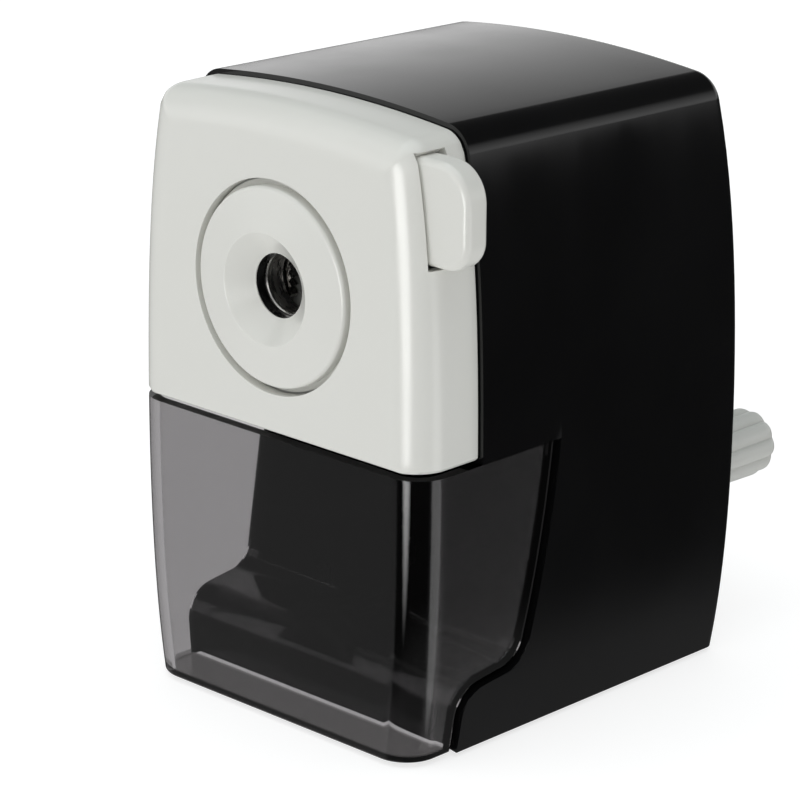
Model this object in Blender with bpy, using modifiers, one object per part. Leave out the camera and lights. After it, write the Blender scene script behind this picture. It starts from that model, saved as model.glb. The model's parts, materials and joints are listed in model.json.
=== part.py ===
"""Hand-cranked desk pencil sharpener with a pull-out front, a side release lever and a smoke drawer.

Every length below is in millimetres and is turned into metres where a mesh is made.
While it is built, X = 0 is the plane of symmetry, Y = 0 the front and Z = 0 the casing's lower edge;
the last step moves the whole object so that its origin is the middle of its footprint, under the feet.
"""

import math

import bmesh
import bpy
from mathutils import Matrix, Vector

MM = 0.001

# Body
MAX_HALF_WIDTH = 31.9
WAIST_Z = 44.0
HALF_HEIGHT = 54.0
SIDE_BOW = 2.25
SIDE_BOW_TOP = 2.3
FRONT_TOP_Z = 98.4
REAR_TOP_DROP = 1.3
CROWN_BOW = 2.43
BODY_DEPTH = 72.8
REAR_BOW = 3.1
TOP_EDGE_RADIUS = 5.0
REAR_EDGE_RADIUS = 2.0
FRONT_EDGE_RADIUS = 5.8
FRONT_BOW = 0.00024
FRONT_BOW_Z = 41.0
WALL = 2.0
SHELL_BOTTOM_Z = 0.0

# Lines where the casing is divided
SEAM_Y = 12.7
PLATE_LIP = 0.8
PLATE_BOTTOM_Z = 46.9
DRAWER_TOP_Z = 45.9
SHELL_CUT_Z = 46.4
SEAM_GAP = 0.3

# Working axis of pencil, cutter carrier and crank
AXIS_Z = 69.6
PENCIL_HOLE_RADIUS = 5.0

# Front carriage
DIAL_RADIUS = 15.65
DIAL_GROOVE = 1.0
DIAL_RIM_Y = 0.35
FUNNEL_RADIUS = 8.5
FUNNEL_RIM_Y = -1.35
HOLE_Y = 1.6
SLEEVE_Y = (3.6, 7.2)
ROD_X = 21.5
ROD_Z = 56.0
ROD_RADIUS = 2.0
ROD_START_Y = 3.5
ROD_END_Y = 62.0
CLIP_Y = 60.7
BACK_PLATE_Y = 9.9
BACK_PLATE_THICKNESS = 1.7
BACK_SCREWS = {"upper": (-23.5, 84.0), "side": (23.5, 66.5), "lower": (12.0, 51.8)}
BACK_SCREW_LENGTH = 6.5

# Release lever and jaws
PADDLE_TIP_X = 36.4
PADDLE_ROOT_X = 24.0
PADDLE_Y = (3.8, 8.5)
PADDLE_Z = (78.0, 94.0)
PADDLE_TOP_RADIUS = 6.0
PADDLE_BOTTOM_RADIUS = 4.5
SLOT_Y = (3.3, 9.0)
SLOT_Z = (77.5, 94.6)
SLIDER_Y = (7.5, 9.3)
SLIDER_X = (-14.0, 13.0)
SLIDER_Z = (61.5, 77.7)
WINDOW_X = (-7.3, 11.3)
WINDOW_Z = (64.2, 75.0)
LEVER_TRAVEL = 5.0
MOVING_JAW_X = -3.4
FIXED_JAW_X = 4.3
JAW_THICKNESS = 1.6
JAW_HALF_HEIGHT = 4.0
JAW_TEETH = 6
LEVER_SPRING_SEAT_X = -24.0

# Planetary cutter drive
MODULE = 0.875
PINION_TEETH = 9
RING_TEETH = 33
PINION_Y = 18.0
PINION_WIDTH = 3.0
RING_Y = (16.0, 20.4)
RING_OUTER_RADIUS = 18.4
CUTTER_RADIUS = 5.25
CUTTER_TILT = math.radians(9.3)
CUTTER_FLUTES = 9
CUTTER_Y = (24.7, 50.2)
CUTTER_TWIST = math.radians(75.0)
PIN_RADIUS = 1.5
FRONT_DISC_Y = (21.0, 23.4)
FRONT_DISC_RADIUS = 15.3
REAR_DISC_Y = (51.5, 54.5)
REAR_DISC_RADIUS = 9.6
SHAFT_RADIUS = 3.0
SHAFT_Y = (55.2, 79.6)

# Inner frame
BULKHEAD_Y = (13.0, 15.4)
COLLAR_END_Y = 23.6
SHELF_TOP_Z = 49.0
REAR_PLATE_Y = (63.6, 65.8)
FRAME_SCREWS = {
    "upper_left": (-15.0, 86.0),
    "upper_right": (15.0, 86.0),
    "lower_left": (-20.0, 53.5),
    "lower_right": (20.0, 53.5),
}

# Crank
ARM_Y = (75.4, 80.4)
CRANK_RADIUS = 47.0
CRANK_ANGLE = math.radians(-74.3)
HUB_RADIUS = 7.5
ARM_END_RADIUS = 6.0
KNOB_Y = (81.2, 101.15)
KNOB_RADIUS = 5.8
KNOB_LOBES = 10
KNOB_PIN_RADIUS = 2.0

# Drawer
DRAWER_WALL = 1.8
WING_GAP = 0.9
BOX_HALF_WIDTH = 27.6
BOX_REAR_Y = 64.0
BOX_FLOOR_Z = 12.0
BOX_TOP_Z = 43.0
DRAWER_BOTTOM_Z = 0.0

# Base
PAN_HALF_WIDTH = 27.0
PAN_BOTTOM_Z = 1.0
PAN_THICKNESS = 2.0
SILL_TOP_Z = 10.3
SILL_REAR_Y = 25.0
PAN_REAR_Y = 69.0
TUNNEL_RADIUS = 8.3
TUNNEL_WALL = 1.8
TUNNEL_ARCH_Z = 5.5
TUNNEL_END_Y = 58.0
FOOT_RADIUS = 4.2
FOOT_TOP_Z = 1.7
FOOT_PROUD = 0.8
FEET = {
    "front_left": (-21.0, 18.0),
    "front_right": (21.0, 18.0),
    "rear_left": (-21.0, 63.0),
    "rear_right": (21.0, 63.0),
}
BASE_SCREWS = {
    "front_left": (-22.0, 34.0),
    "front_right": (22.0, 34.0),
    "rear_left": (-22.0, 52.0),
    "rear_right": (22.0, 52.0),
}
SCREW_RADIUS = 1.4
SCREW_HEAD_RADIUS = 2.7
BASE_SCREW_LENGTH = 8.5
FIT = 0.3

ROUND_STEPS = 20


# ---------------------------------------------------------------- scene helpers

def clear_scene():
    for obj in list(bpy.data.objects):
        bpy.data.objects.remove(obj, do_unlink=True)
    for name in ("pencil_sharpener", "cutters"):
        old = bpy.data.collections.get(name)
        if old:
            bpy.data.collections.remove(old)


clear_scene()
PARTS = bpy.data.collections.new("pencil_sharpener")
CUTTERS = bpy.data.collections.new("cutters")
bpy.context.scene.collection.children.link(PARTS)
bpy.context.scene.collection.children.link(CUTTERS)


def material(name, colour, roughness, metallic=0.0, alpha=1.0):
    made = bpy.data.materials.new(name)
    made.use_nodes = True
    shader = made.node_tree.nodes["Principled BSDF"]
    shader.inputs["Base Color"].default_value = (*colour, 1.0)
    shader.inputs["Roughness"].default_value = roughness
    shader.inputs["Metallic"].default_value = metallic
    shader.inputs["Alpha"].default_value = alpha
    return made


WHITE_PLASTIC = material("white_plastic", (0.70, 0.70, 0.67), 0.32)
BLACK_PLASTIC = material("black_plastic", (0.012, 0.012, 0.013), 0.30)
GREY_PLASTIC = material("grey_plastic", (0.42, 0.43, 0.42), 0.45)
SMOKE_PLASTIC = material("smoke_plastic", (0.10, 0.09, 0.10), 0.08, alpha=0.55)
FRAME_PLASTIC = material("frame_plastic", (0.03, 0.03, 0.032), 0.50)
GEAR_PLASTIC = material("gear_plastic", (0.80, 0.78, 0.70), 0.45)
STEEL = material("steel", (0.55, 0.55, 0.54), 0.30, metallic=1.0)
CAST_ZINC = material("cast_zinc", (0.42, 0.42, 0.43), 0.45, metallic=1.0)
RUBBER = material("rubber", (0.03, 0.03, 0.03), 0.85)


def empty(name, place, parent=None):
    mount = bpy.data.objects.new(name, None)
    mount.empty_display_size = 0.01
    mount.location = Vector(place) * MM
    PARTS.objects.link(mount)
    bpy.context.view_layer.update()
    if parent:
        keep_place_under(mount, parent)
    return mount


def keep_place_under(obj, parent):
    obj.parent = parent
    obj.matrix_parent_inverse = parent.matrix_world.inverted()
    bpy.context.view_layer.update()


def object_from_bmesh(name, shape, at=(0, 0, 0)):
    bmesh.ops.recalc_face_normals(shape, faces=shape.faces)
    mesh = bpy.data.meshes.new(name)
    shape.to_mesh(mesh)
    shape.free()
    mesh.transform(Matrix.Scale(MM, 4))
    obj = bpy.data.objects.new(name, mesh)
    obj.location = Vector(at) * MM
    PARTS.objects.link(obj)
    return obj


def as_part(obj, look, parent, smooth_angle=30.0):
    """Gives a finished sub-part its material, its shading and its parent."""
    obj.data.materials.clear()
    obj.data.materials.append(look)
    obj.data.shade_smooth()
    obj.data.set_sharp_from_angle(angle=math.radians(smooth_angle))
    keep_place_under(obj, parent)
    return obj


def as_helper(obj):
    """Moves a cutter or a joined shape out of the parts."""
    PARTS.objects.unlink(obj)
    CUTTERS.objects.link(obj)
    obj.hide_render = True
    obj.display_type = "WIRE"
    keep_place_under(obj, ROOT)
    return obj


def boolean(obj, helper, operation):
    modifier = obj.modifiers.new(helper.name, "BOOLEAN")
    modifier.operation = operation
    modifier.object = as_helper(helper) if helper.name in PARTS.objects else helper
    return obj


def cut(obj, *helpers):
    for helper in helpers:
        boolean(obj, helper, "DIFFERENCE")
    return obj


def join(obj, *helpers):
    for helper in helpers:
        boolean(obj, helper, "UNION")
    return obj


# ---------------------------------------------------------------- shape helpers

def span(start, end, count):
    """Evenly spaced values from start to end, both included."""
    return [start + (end - start) * i / (count - 1) for i in range(count)]


def box(name, x, y, z):
    """A box between pairs of planes; its origin is its centre."""
    shape = bmesh.new()
    size = (x[1] - x[0], y[1] - y[0], z[1] - z[0])
    bmesh.ops.create_cube(shape, size=1.0, matrix=Matrix.Diagonal((*size, 1.0)))
    centre = ((x[0] + x[1]) / 2, (y[0] + y[1]) / 2, (z[0] + z[1]) / 2)
    return object_from_bmesh(name, shape, centre)


def cylinder(name, radius, length, at, axis="Y", end_radius=None, steps=ROUND_STEPS):
    """A round bar that starts at a point and runs along an axis; its origin is at its start."""
    shape = bmesh.new()
    bmesh.ops.create_cone(
        shape,
        cap_ends=True,
        segments=steps,
        radius1=radius,
        radius2=radius if end_radius is None else end_radius,
        depth=length,
        matrix=Matrix.Translation((0, 0, length / 2)),
    )
    obj = object_from_bmesh(name, shape, at)
    obj.rotation_euler = TURN[axis]
    return obj


TURN = {"X": (0, math.pi / 2, 0), "Y": (-math.pi / 2, 0, 0), "Z": (0, 0, 0)}


def turned(name, profile, at, axis="Y", steps=ROUND_STEPS, closed=False):
    """A profile of (radius, height) points, outer side first from top to bottom, turned about an axis."""
    shape = bmesh.new()
    points = [shape.verts.new((radius, 0, height)) for radius, height in profile]
    for first, second in zip(points, points[1:]):
        shape.edges.new((first, second))
    if closed:
        shape.edges.new((points[-1], points[0]))
    obj = object_from_bmesh(name, shape, at)
    obj.rotation_euler = TURN[axis]
    screw = obj.modifiers.new("turn", "SCREW")
    screw.axis = "Z"
    screw.steps = steps
    screw.render_steps = steps
    screw.use_merge_vertices = True
    screw.merge_threshold = 0.00001
    return obj


def prism(name, outline, low, high, axis="Y"):
    """A flat outline with thickness. For axis Y it holds (x, z) points, for axis X (y, z) points."""
    shape = bmesh.new()
    if axis == "Y":
        points = [shape.verts.new((a, low, b)) for a, b in outline]
        way = (0, high - low, 0)
    else:
        points = [shape.verts.new((low, a, b)) for a, b in outline]
        way = (high - low, 0, 0)
    face = shape.faces.new(points)
    grown = bmesh.ops.extrude_face_region(shape, geom=[face])
    moved = [item for item in grown["geom"] if isinstance(item, bmesh.types.BMVert)]
    bmesh.ops.translate(shape, verts=moved, vec=way)
    return object_from_bmesh(name, shape)


def arc(centre, radius, start, end, count):
    """Points round an arc; angles are in degrees."""
    return [
        (
            centre[0] + radius * math.cos(math.radians(angle)),
            centre[1] + radius * math.sin(math.radians(angle)),
        )
        for angle in span(start, end, count)
    ]


def loft(name, rings, cap_start=False, cap_end=False, loop=True, ladder=False):
    """Skins rings of equally many points. A ladder cap joins the two mirrored halves of a ring."""
    shape = bmesh.new()
    rows = [[shape.verts.new(point) for point in ring] for ring in rings]
    count = len(rows[0])
    for first, second in zip(rows, rows[1:]):
        for i in range(count if loop else count - 1):
            j = (i + 1) % count
            shape.faces.new((first[i], first[j], second[j], second[i]))
    for row, wanted in ((rows[0], cap_start), (rows[-1], cap_end)):
        if wanted and ladder:
            for i in range(count // 2):
                corners = [row[i], row[i + 1], row[count - 2 - i], row[count - 1 - i]]
                shape.faces.new(dict.fromkeys(corners))
        elif wanted:
            shape.faces.new(row)
    return object_from_bmesh(name, shape)


def bevel(obj, width, segments=2, angle=40.0):
    modifier = obj.modifiers.new("rounding", "BEVEL")
    modifier.width = width * MM
    modifier.segments = segments
    modifier.limit_method = "ANGLE"
    modifier.angle_limit = math.radians(angle)
    return obj


def thicken(obj, thickness, inward=True):
    modifier = obj.modifiers.new("wall", "SOLIDIFY")
    modifier.thickness = thickness * MM
    modifier.offset = -1.0 if inward else 1.0
    modifier.use_even_offset = True
    return obj


def coil(name, start, end, axis, radius, wire_radius, turns, points_per_turn=8):
    """A compression spring as a poly curve with a round bevel, made a mesh."""
    curve = bpy.data.curves.new(name, "CURVE")
    curve.dimensions = "3D"
    curve.bevel_depth = wire_radius * MM
    curve.bevel_resolution = 1
    curve.use_fill_caps = True
    spline = curve.splines.new("POLY")
    count = int(turns * points_per_turn) + 1
    spline.points.add(count - 1)
    length = (end - start).length - 2 * wire_radius
    for i, point in enumerate(spline.points):
        angle = 2 * math.pi * i / points_per_turn
        along = wire_radius + length * i / (count - 1)
        local = (radius * math.cos(angle), radius * math.sin(angle), along)
        point.co = (*[value * MM for value in local], 1.0)
    guide = bpy.data.objects.new(name + "_guide", curve)
    PARTS.objects.link(guide)
    bpy.context.view_layer.update()
    graph = bpy.context.evaluated_depsgraph_get()
    mesh = bpy.data.meshes.new_from_object(guide.evaluated_get(graph))
    bpy.data.objects.remove(guide, do_unlink=True)
    welder = bmesh.new()
    welder.from_mesh(mesh)
    bmesh.ops.remove_doubles(welder, verts=welder.verts, dist=0.000001)
    bmesh.ops.recalc_face_normals(welder, faces=welder.faces)
    welder.to_mesh(mesh)
    welder.free()
    obj = bpy.data.objects.new(name, mesh)
    obj.location = start * MM
    obj.rotation_euler = TURN[axis]
    PARTS.objects.link(obj)
    return obj


# ---------------------------------------------------------------- body surface

def half_width(z, inset=0.0):
    """Half the width of the casing at a height: the sides bow outwards like a barrel."""
    t = (z - WAIST_Z) / HALF_HEIGHT
    return MAX_HALF_WIDTH - SIDE_BOW * t**2 - SIDE_BOW_TOP * t**4 - inset


def side_lean(z):
    """How far the side leans inwards at a height, as an angle from the vertical."""
    step = 0.01
    return math.atan((half_width(z) - half_width(z + step)) / step)


def crown(x, top, inset=0.0):
    return top - inset - CROWN_BOW * (x / MAX_HALF_WIDTH) ** 2


def body_outline(top, inset, low, sides=8, corner=5, crowns=4):
    """Half outlines mirrored into one open line: up the left side, over the crown, down the right."""
    radius = TOP_EDGE_RADIUS - min(inset, TOP_EDGE_RADIUS - 1.0)
    side_z = top - TOP_EDGE_RADIUS
    crown_x = MAX_HALF_WIDTH - 2 * TOP_EDGE_RADIUS
    for _ in range(30):
        lean = side_lean(side_z)
        fall = math.atan(2 * CROWN_BOW * crown_x / MAX_HALF_WIDTH**2)
        centre_x = half_width(side_z, inset) - radius * math.cos(lean)
        centre_z = crown(crown_x, top, inset) - radius * math.cos(fall)
        side_z = centre_z + radius * math.sin(lean)
        crown_x = centre_x + radius * math.sin(fall)
    right = [(half_width(z, inset), z) for z in span(low, side_z, sides)]
    turn = arc((centre_x, centre_z), radius, math.degrees(lean), 90 - math.degrees(fall), corner + 2)
    right += turn[1:-1]
    right += [(x, crown(x, top, inset)) for x in span(crown_x, 0.0, crowns + 1)]
    left = [(-x, z) for x, z in right[:-1]]
    return left + right[::-1]


def front_bow(z):
    """How far the front falls back at a height: it is foremost just under the middle."""
    return FRONT_BOW * (z - FRONT_BOW_Z) ** 2


def rear_bow(z):
    return REAR_BOW * ((z - WAIST_Z + 9.0) / (HALF_HEIGHT + 9.0)) ** 2


def wing_edge(gap=0.0, bottom=0.0, top=DRAWER_TOP_Z, steps=6):
    """The S-shaped line (y, z) where the drawer's sides end, moved back by a gap."""
    low_centre = (15.3, 5.4)
    low_radius = 5.6 - gap
    high_centre = (19.0, 16.5)
    high_radius = 5.0 + gap
    line = [(low_centre[0] - low_radius - 0.3, bottom)]
    line += arc(low_centre, low_radius, 180, 95, steps)
    line += arc(high_centre, high_radius, -86, -12.6, steps)
    start_z = line[-1][1]
    for z in span(start_z, top, 5)[1:]:
        below = DRAWER_TOP_Z - z
        line.append((29.2 - 0.125 * below - 0.00165 * below**2 + gap, z))
    return line


# ---------------------------------------------------------------- casing

def make_outer_shell():
    rings = []
    stations = [(SEAM_Y, 0.0), (30.0, 0.0), (50.0, 0.0)]
    for angle in (0, 30, 60, 90):
        back = REAR_EDGE_RADIUS * math.sin(math.radians(angle))
        inset = REAR_EDGE_RADIUS * (1 - math.cos(math.radians(angle)))
        stations.append((BODY_DEPTH - REAR_EDGE_RADIUS + back, inset))
    for y, inset in stations:
        share = (y - SEAM_Y) / (BODY_DEPTH - SEAM_Y)
        outline = body_outline(FRONT_TOP_Z - REAR_TOP_DROP * share, inset, SHELL_BOTTOM_Z)
        rings.append([(x, y - share * rear_bow(z), z) for x, z in outline])
    shell = loft("outer_shell", rings, cap_end=True, loop=False, ladder=True)
    thicken(shell, WALL)

    # The front lower corner is cut away along the drawer's S-shaped edge.
    edge = wing_edge(WING_GAP, bottom=-1.0, top=SHELL_CUT_Z)
    edge += [(SEAM_Y - 5.0, SHELL_CUT_Z), (SEAM_Y - 5.0, -1.0)]
    cut(shell, prism("shell_s_cut", edge, -40.0, 40.0, axis="X"))
    cut(shell, cylinder("shell_rear_hole", 6.9, 12.0, (0, 64.0, AXIS_Z)))
    for place, (x, z) in FRAME_SCREWS.items():
        hole = cylinder(f"shell_hole_{place}", SCREW_RADIUS + FIT, 12.0, (x, 64.0, z), steps=12)
        cut(shell, hole)

    # Bosses on the side walls take the base screws.
    for place, (x, y) in BASE_SCREWS.items():
        side = math.copysign(1.0, x)
        wall_x = half_width(7.0) - WALL / 2
        rib = box(
            f"shell_rib_{place}",
            sorted((x, side * wall_x)),
            (y - 1.2, y + 1.2),
            (5.0, 10.8),
        )
        boss = cylinder(f"shell_boss_{place}", 3.2, 5.8, (x, y, 5.0), axis="Z", steps=16)
        hole = cylinder(
            f"shell_boss_hole_{place}", SCREW_RADIUS + FIT, 5.6, (x, y, 4.5), axis="Z", steps=12
        )
        join(shell, rib, boss)
        cut(shell, hole)
    return as_part(shell, BLACK_PLASTIC, ROOT)


def make_base_pan():
    """A thin pan whose front rises in a sill; a clamp tunnel with an arched roof runs back from it."""
    inner_top = SILL_TOP_Z - PAN_THICKNESS
    slab_top = PAN_BOTTOM_Z + PAN_THICKNESS
    front = [point for point in wing_edge(WING_GAP, bottom=PAN_BOTTOM_Z) if point[1] < SILL_TOP_Z - 0.1]
    front_y = front[0][0]
    profile = front + [
        (16.0, SILL_TOP_Z),
        (SILL_REAR_Y, SILL_TOP_Z),
        (SILL_REAR_Y, slab_top),
        (PAN_REAR_Y, slab_top),
        (PAN_REAR_Y, PAN_BOTTOM_Z),
        (SILL_REAR_Y - PAN_THICKNESS, PAN_BOTTOM_Z),
        (SILL_REAR_Y - PAN_THICKNESS, inner_top),
        (17.0, inner_top),
        (front_y + PAN_THICKNESS, 5.0),
        (front_y + PAN_THICKNESS, PAN_BOTTOM_Z),
    ]
    pan = prism("base_pan", profile, -PAN_HALF_WIDTH, PAN_HALF_WIDTH, axis="X")
    # The bosses stand a little below the pan, and the tunnel's walls end a little above its underside.
    pad_z = PAN_BOTTOM_Z - 0.2
    for place, (x, y) in FEET.items():
        rise = 8.0 if "front" in place else 3.6
        boss = cylinder(f"foot_boss_{place}", FOOT_RADIUS + 1.6, rise, (x, y, pad_z), axis="Z", steps=16)
        join(pan, boss)
    for place, (x, y) in BASE_SCREWS.items():
        join(pan, cylinder(f"screw_boss_{place}", 4.2, 3.8, (x, y, pad_z), axis="Z", steps=16))

    wall_z = PAN_BOTTOM_Z + 0.5
    tunnel = [(-TUNNEL_RADIUS, wall_z)]
    tunnel += arc((0, TUNNEL_ARCH_Z), TUNNEL_RADIUS, 180, 0, 13)
    tunnel += [(TUNNEL_RADIUS, wall_z)]
    join(pan, prism("tunnel_outside", tunnel, front_y, TUNNEL_END_Y))
    bore_radius = TUNNEL_RADIUS - TUNNEL_WALL
    bore = [(-bore_radius, slab_top)]
    bore += arc((0, TUNNEL_ARCH_Z), bore_radius, 180, 0, 13)
    bore += [(bore_radius, slab_top)]
    cut(pan, prism("tunnel_bore", bore, front_y - 2.0, TUNNEL_END_Y - TUNNEL_WALL))

    for place, (x, y) in FEET.items():
        pocket = cylinder(
            f"foot_pocket_{place}", FOOT_RADIUS + FIT, 2.0, (x, y, 0.0), axis="Z", steps=16
        )
        cut(pan, pocket)
    for place, (x, y) in BASE_SCREWS.items():
        head = cylinder(f"screw_sink_{place}", SCREW_HEAD_RADIUS + FIT, 2.7, (x, y, 0.0), axis="Z", steps=12)
        hole = cylinder(f"screw_hole_{place}", SCREW_RADIUS + FIT, 6.0, (x, y, 0.0), axis="Z", steps=12)
        cut(pan, head, hole)
    return as_part(pan, BLACK_PLASTIC, ROOT)


def make_foot(place, x, y):
    rounding = 0.4
    profile = [
        (0.0, FOOT_TOP_Z),
        (FOOT_RADIUS, FOOT_TOP_Z),
        (FOOT_RADIUS, rounding - FOOT_PROUD),
        (FOOT_RADIUS - rounding, -FOOT_PROUD),
        (0.0, -FOOT_PROUD),
    ]
    return as_part(turned(f"foot_{place}", profile, (x, y, 0.0), axis="Z", steps=16), RUBBER, ROOT)


def make_screw(name, at, axis, length, way=1.0, parent=None):
    """A self-tapping screw: head outside, shank along way times the axis."""
    head = 1.3
    top = [(0.0, 0.0), (SCREW_HEAD_RADIUS - 0.4, 0.0), (SCREW_HEAD_RADIUS, -0.5), (SCREW_HEAD_RADIUS, -head)]
    shank = [(SCREW_RADIUS, -head), (SCREW_RADIUS, 0.8 - length), (0.3, -length), (0.0, -length)]
    profile = top + shank
    if way > 0:
        profile = [(radius, -height) for radius, height in reversed(profile)]
    screw = turned(name, profile, at, axis=axis, steps=12)
    slot_depth = 0.6
    centre = Vector(at)
    half = Vector((SCREW_HEAD_RADIUS + 1, 0.35, SCREW_HEAD_RADIUS + 1))
    if axis == "Z":
        half = Vector((SCREW_HEAD_RADIUS + 1, 0.35, 0.0))
    deep = {"Y": 1, "Z": 2}[axis]
    half[deep] = slot_depth
    if axis == "Y":
        half[2] = 0.35
    slot = box(
        name + "_slot",
        (centre.x - half.x, centre.x + half.x),
        (centre.y - half.y, centre.y + half.y),
        (centre.z - half.z, centre.z + half.z),
    )
    cut(screw, slot)
    return as_part(screw, STEEL, parent)


# ---------------------------------------------------------------- drawer

def make_drawer():
    """Front and side wings a lip inside the casing's surface, with a narrower open box behind them."""

    def plan(z, inset, back):
        radius = FRONT_EDGE_RADIUS - inset
        x = half_width(z, inset + PLATE_LIP)
        right = [(x, back)] + [
            (x - radius + a, front_bow(z) + inset + radius - b)
            for a, b in arc((0, 0), radius, 0, 90, 6)
        ]
        return [(-a, b, z) for a, b in right] + [(a, b, z) for a, b in reversed(right)]

    def volume(name, inset, low, high, back, rounding=0.0):
        heights = span(low + rounding, high, 7)
        rings = [plan(z, inset, back) for z in heights]
        for angle in (30, 60, 90) if rounding else ():
            drop = rounding * math.sin(math.radians(angle))
            inward = rounding * (1 - math.cos(math.radians(angle)))
            rings.insert(0, plan(low + rounding - drop, inset + inward, back))
        return loft(name, rings, cap_start=True, cap_end=True)

    drawer = volume("shavings_drawer", 0.0, DRAWER_BOTTOM_Z, DRAWER_TOP_Z, 40.0, rounding=0.5)
    behind = wing_edge(0.0, bottom=-2.0, top=DRAWER_TOP_Z + 2.0) + [(50.0, DRAWER_TOP_Z + 2.0), (50.0, -2.0)]
    cut(drawer, prism("drawer_s_cut", behind, -40.0, 40.0, axis="X"))
    join(
        drawer,
        box("drawer_box", (-BOX_HALF_WIDTH, BOX_HALF_WIDTH), (20.0, BOX_REAR_Y), (BOX_FLOOR_Z, BOX_TOP_Z)),
    )
    arch = TUNNEL_RADIUS + 0.6
    spring_line = math.degrees(math.asin((BOX_FLOOR_Z - TUNNEL_ARCH_Z) / (arch + DRAWER_WALL)))
    hump = arc((0, TUNNEL_ARCH_Z), arch + DRAWER_WALL, 180 - spring_line, spring_line, 9)

    hollow = volume("drawer_front_hollow", DRAWER_WALL, DRAWER_BOTTOM_Z + DRAWER_WALL, 60.0, 40.0)
    inner_edge = wing_edge(-DRAWER_WALL, bottom=-2.0, top=62.0) + [(50.0, 62.0), (50.0, -2.0)]
    cut(hollow, prism("hollow_s_cut", inner_edge, -40.0, 40.0, axis="X"))
    inner = BOX_HALF_WIDTH - DRAWER_WALL
    box_hollow = box(
        "drawer_box_hollow",
        (-inner, inner),
        (18.0, BOX_REAR_Y - DRAWER_WALL),
        (BOX_FLOOR_Z + DRAWER_WALL, 60.0),
    )
    cut(drawer, hollow, box_hollow)
    join(drawer, prism("tunnel_hump", hump, 12.0, BOX_REAR_Y - 0.4))
    groove = [(-arch, -2.0)] + arc((0, TUNNEL_ARCH_Z), arch, 180, 0, 13) + [(arch, -2.0)]
    cut(drawer, prism("tunnel_groove", groove, 9.9, BOX_REAR_Y + 4.0))
    return as_part(drawer, SMOKE_PLASTIC, DRAWER)


# ---------------------------------------------------------------- front carriage

def make_front_plate():
    """The white front: a deep cap over the upper half, with posts inside for the rods and screws."""
    low = PLATE_BOTTOM_Z
    rings = []
    for angle in (90, 60, 30, 0):
        inset = FRONT_EDGE_RADIUS * (1 - math.cos(math.radians(angle)))
        y = FRONT_EDGE_RADIUS * (1 - math.sin(math.radians(angle)))
        outline = body_outline(FRONT_TOP_Z, inset + PLATE_LIP, low)
        rings.append([(x, y + front_bow(z), z) for x, z in outline])
    back = body_outline(FRONT_TOP_Z, PLATE_LIP, low)
    rings.append([(x, SEAM_Y - SEAM_GAP, z) for x, z in back])
    plate = loft("front_plate", rings, cap_start=True, loop=False, ladder=True)
    thicken(plate, WALL)

    # A floor closes the underside, and the window for the dial opens the front.
    half = half_width(low, PLATE_LIP + 1.0)
    shelf = box("plate_floor", (-half + 3.0, half - 3.0), (1.0, SEAM_Y - SEAM_GAP), (low, low + WALL))
    join(plate, shelf)
    for side in (-1, 1):
        inner, outer = sorted((side * (half - 4.0), side * half))
        join(plate, box(f"plate_floor_side_{side}", (inner, outer), (4.0, SEAM_Y - SEAM_GAP), (low, low + WALL)))
    for side in (-1, 1):
        post = cylinder(f"rod_post_{side}", 3.6, BACK_PLATE_Y - FIT - 1.0, (side * ROD_X, 1.0, ROD_Z), steps=20)
        join(plate, post)
    for place, (x, z) in BACK_SCREWS.items():
        join(plate, cylinder(f"back_post_{place}", 2.6, BACK_PLATE_Y - FIT - 1.0, (x, 1.0, z), steps=16))
    seat_x = LEVER_SPRING_SEAT_X
    join(
        plate,
        box("lever_spring_seat", (seat_x - 2.0, seat_x - FIT), (1.0, 9.0), (AXIS_Z - 3.5, AXIS_Z + 3.5)),
    )
    cut(plate, cylinder("dial_window", DIAL_RADIUS + DIAL_GROOVE, 6.0, (0, -2.0, AXIS_Z), steps=48))
    # The slot runs inwards as far as the pressed paddle goes.
    cut(plate, box("lever_slot", (PADDLE_ROOT_X - LEVER_TRAVEL - FIT, 40.0), SLOT_Y, SLOT_Z))
    for side in (-1, 1):
        bore = cylinder(
            f"rod_bore_{side}", ROD_RADIUS + FIT, 12.0, (side * ROD_X, ROD_START_Y - FIT, ROD_Z), steps=20
        )
        cut(plate, bore)
    for place, (x, z) in BACK_SCREWS.items():
        start = BACK_PLATE_Y + BACK_PLATE_THICKNESS - BACK_SCREW_LENGTH
        cut(plate, cylinder(f"back_bore_{place}", SCREW_RADIUS + FIT, 12.0, (x, start, z), steps=12))
    return as_part(plate, WHITE_PLASTIC, CARRIAGE)


def make_guide_dial():
    """Round insert whose face rises to the funnel's rim; a flange behind the plate holds it."""
    flange = 18.0
    hub = 7.4
    profile = [
        (FUNNEL_RADIUS, FUNNEL_RIM_Y + 0.2),
        (FUNNEL_RADIUS + 0.4, FUNNEL_RIM_Y),
        (12.0, -0.75),
        (DIAL_RADIUS - 0.9, DIAL_RIM_Y - 0.3),
        (DIAL_RADIUS - 0.25, DIAL_RIM_Y),
        (DIAL_RADIUS, DIAL_RIM_Y + 0.6),
        (DIAL_RADIUS, 3.1),
        (DIAL_RADIUS + 1.25, 3.1),
        (DIAL_RADIUS + 1.25, 2.7),
        (flange, 2.7),
        (flange, 3.6),
        (hub, 3.6),
        (hub, 7.1),
        (6.3, 7.1),
        (6.3, SLEEVE_Y[0] - 0.3),
        (PENCIL_HOLE_RADIUS, SLEEVE_Y[0] - 0.5),
        (PENCIL_HOLE_RADIUS, HOLE_Y),
    ]
    profile = [(radius, height) for radius, height in reversed(profile)]
    dial = turned("guide_dial", profile, (0, 0, AXIS_Z), closed=True, steps=36)
    return as_part(dial, WHITE_PLASTIC, CARRIAGE)


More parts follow.
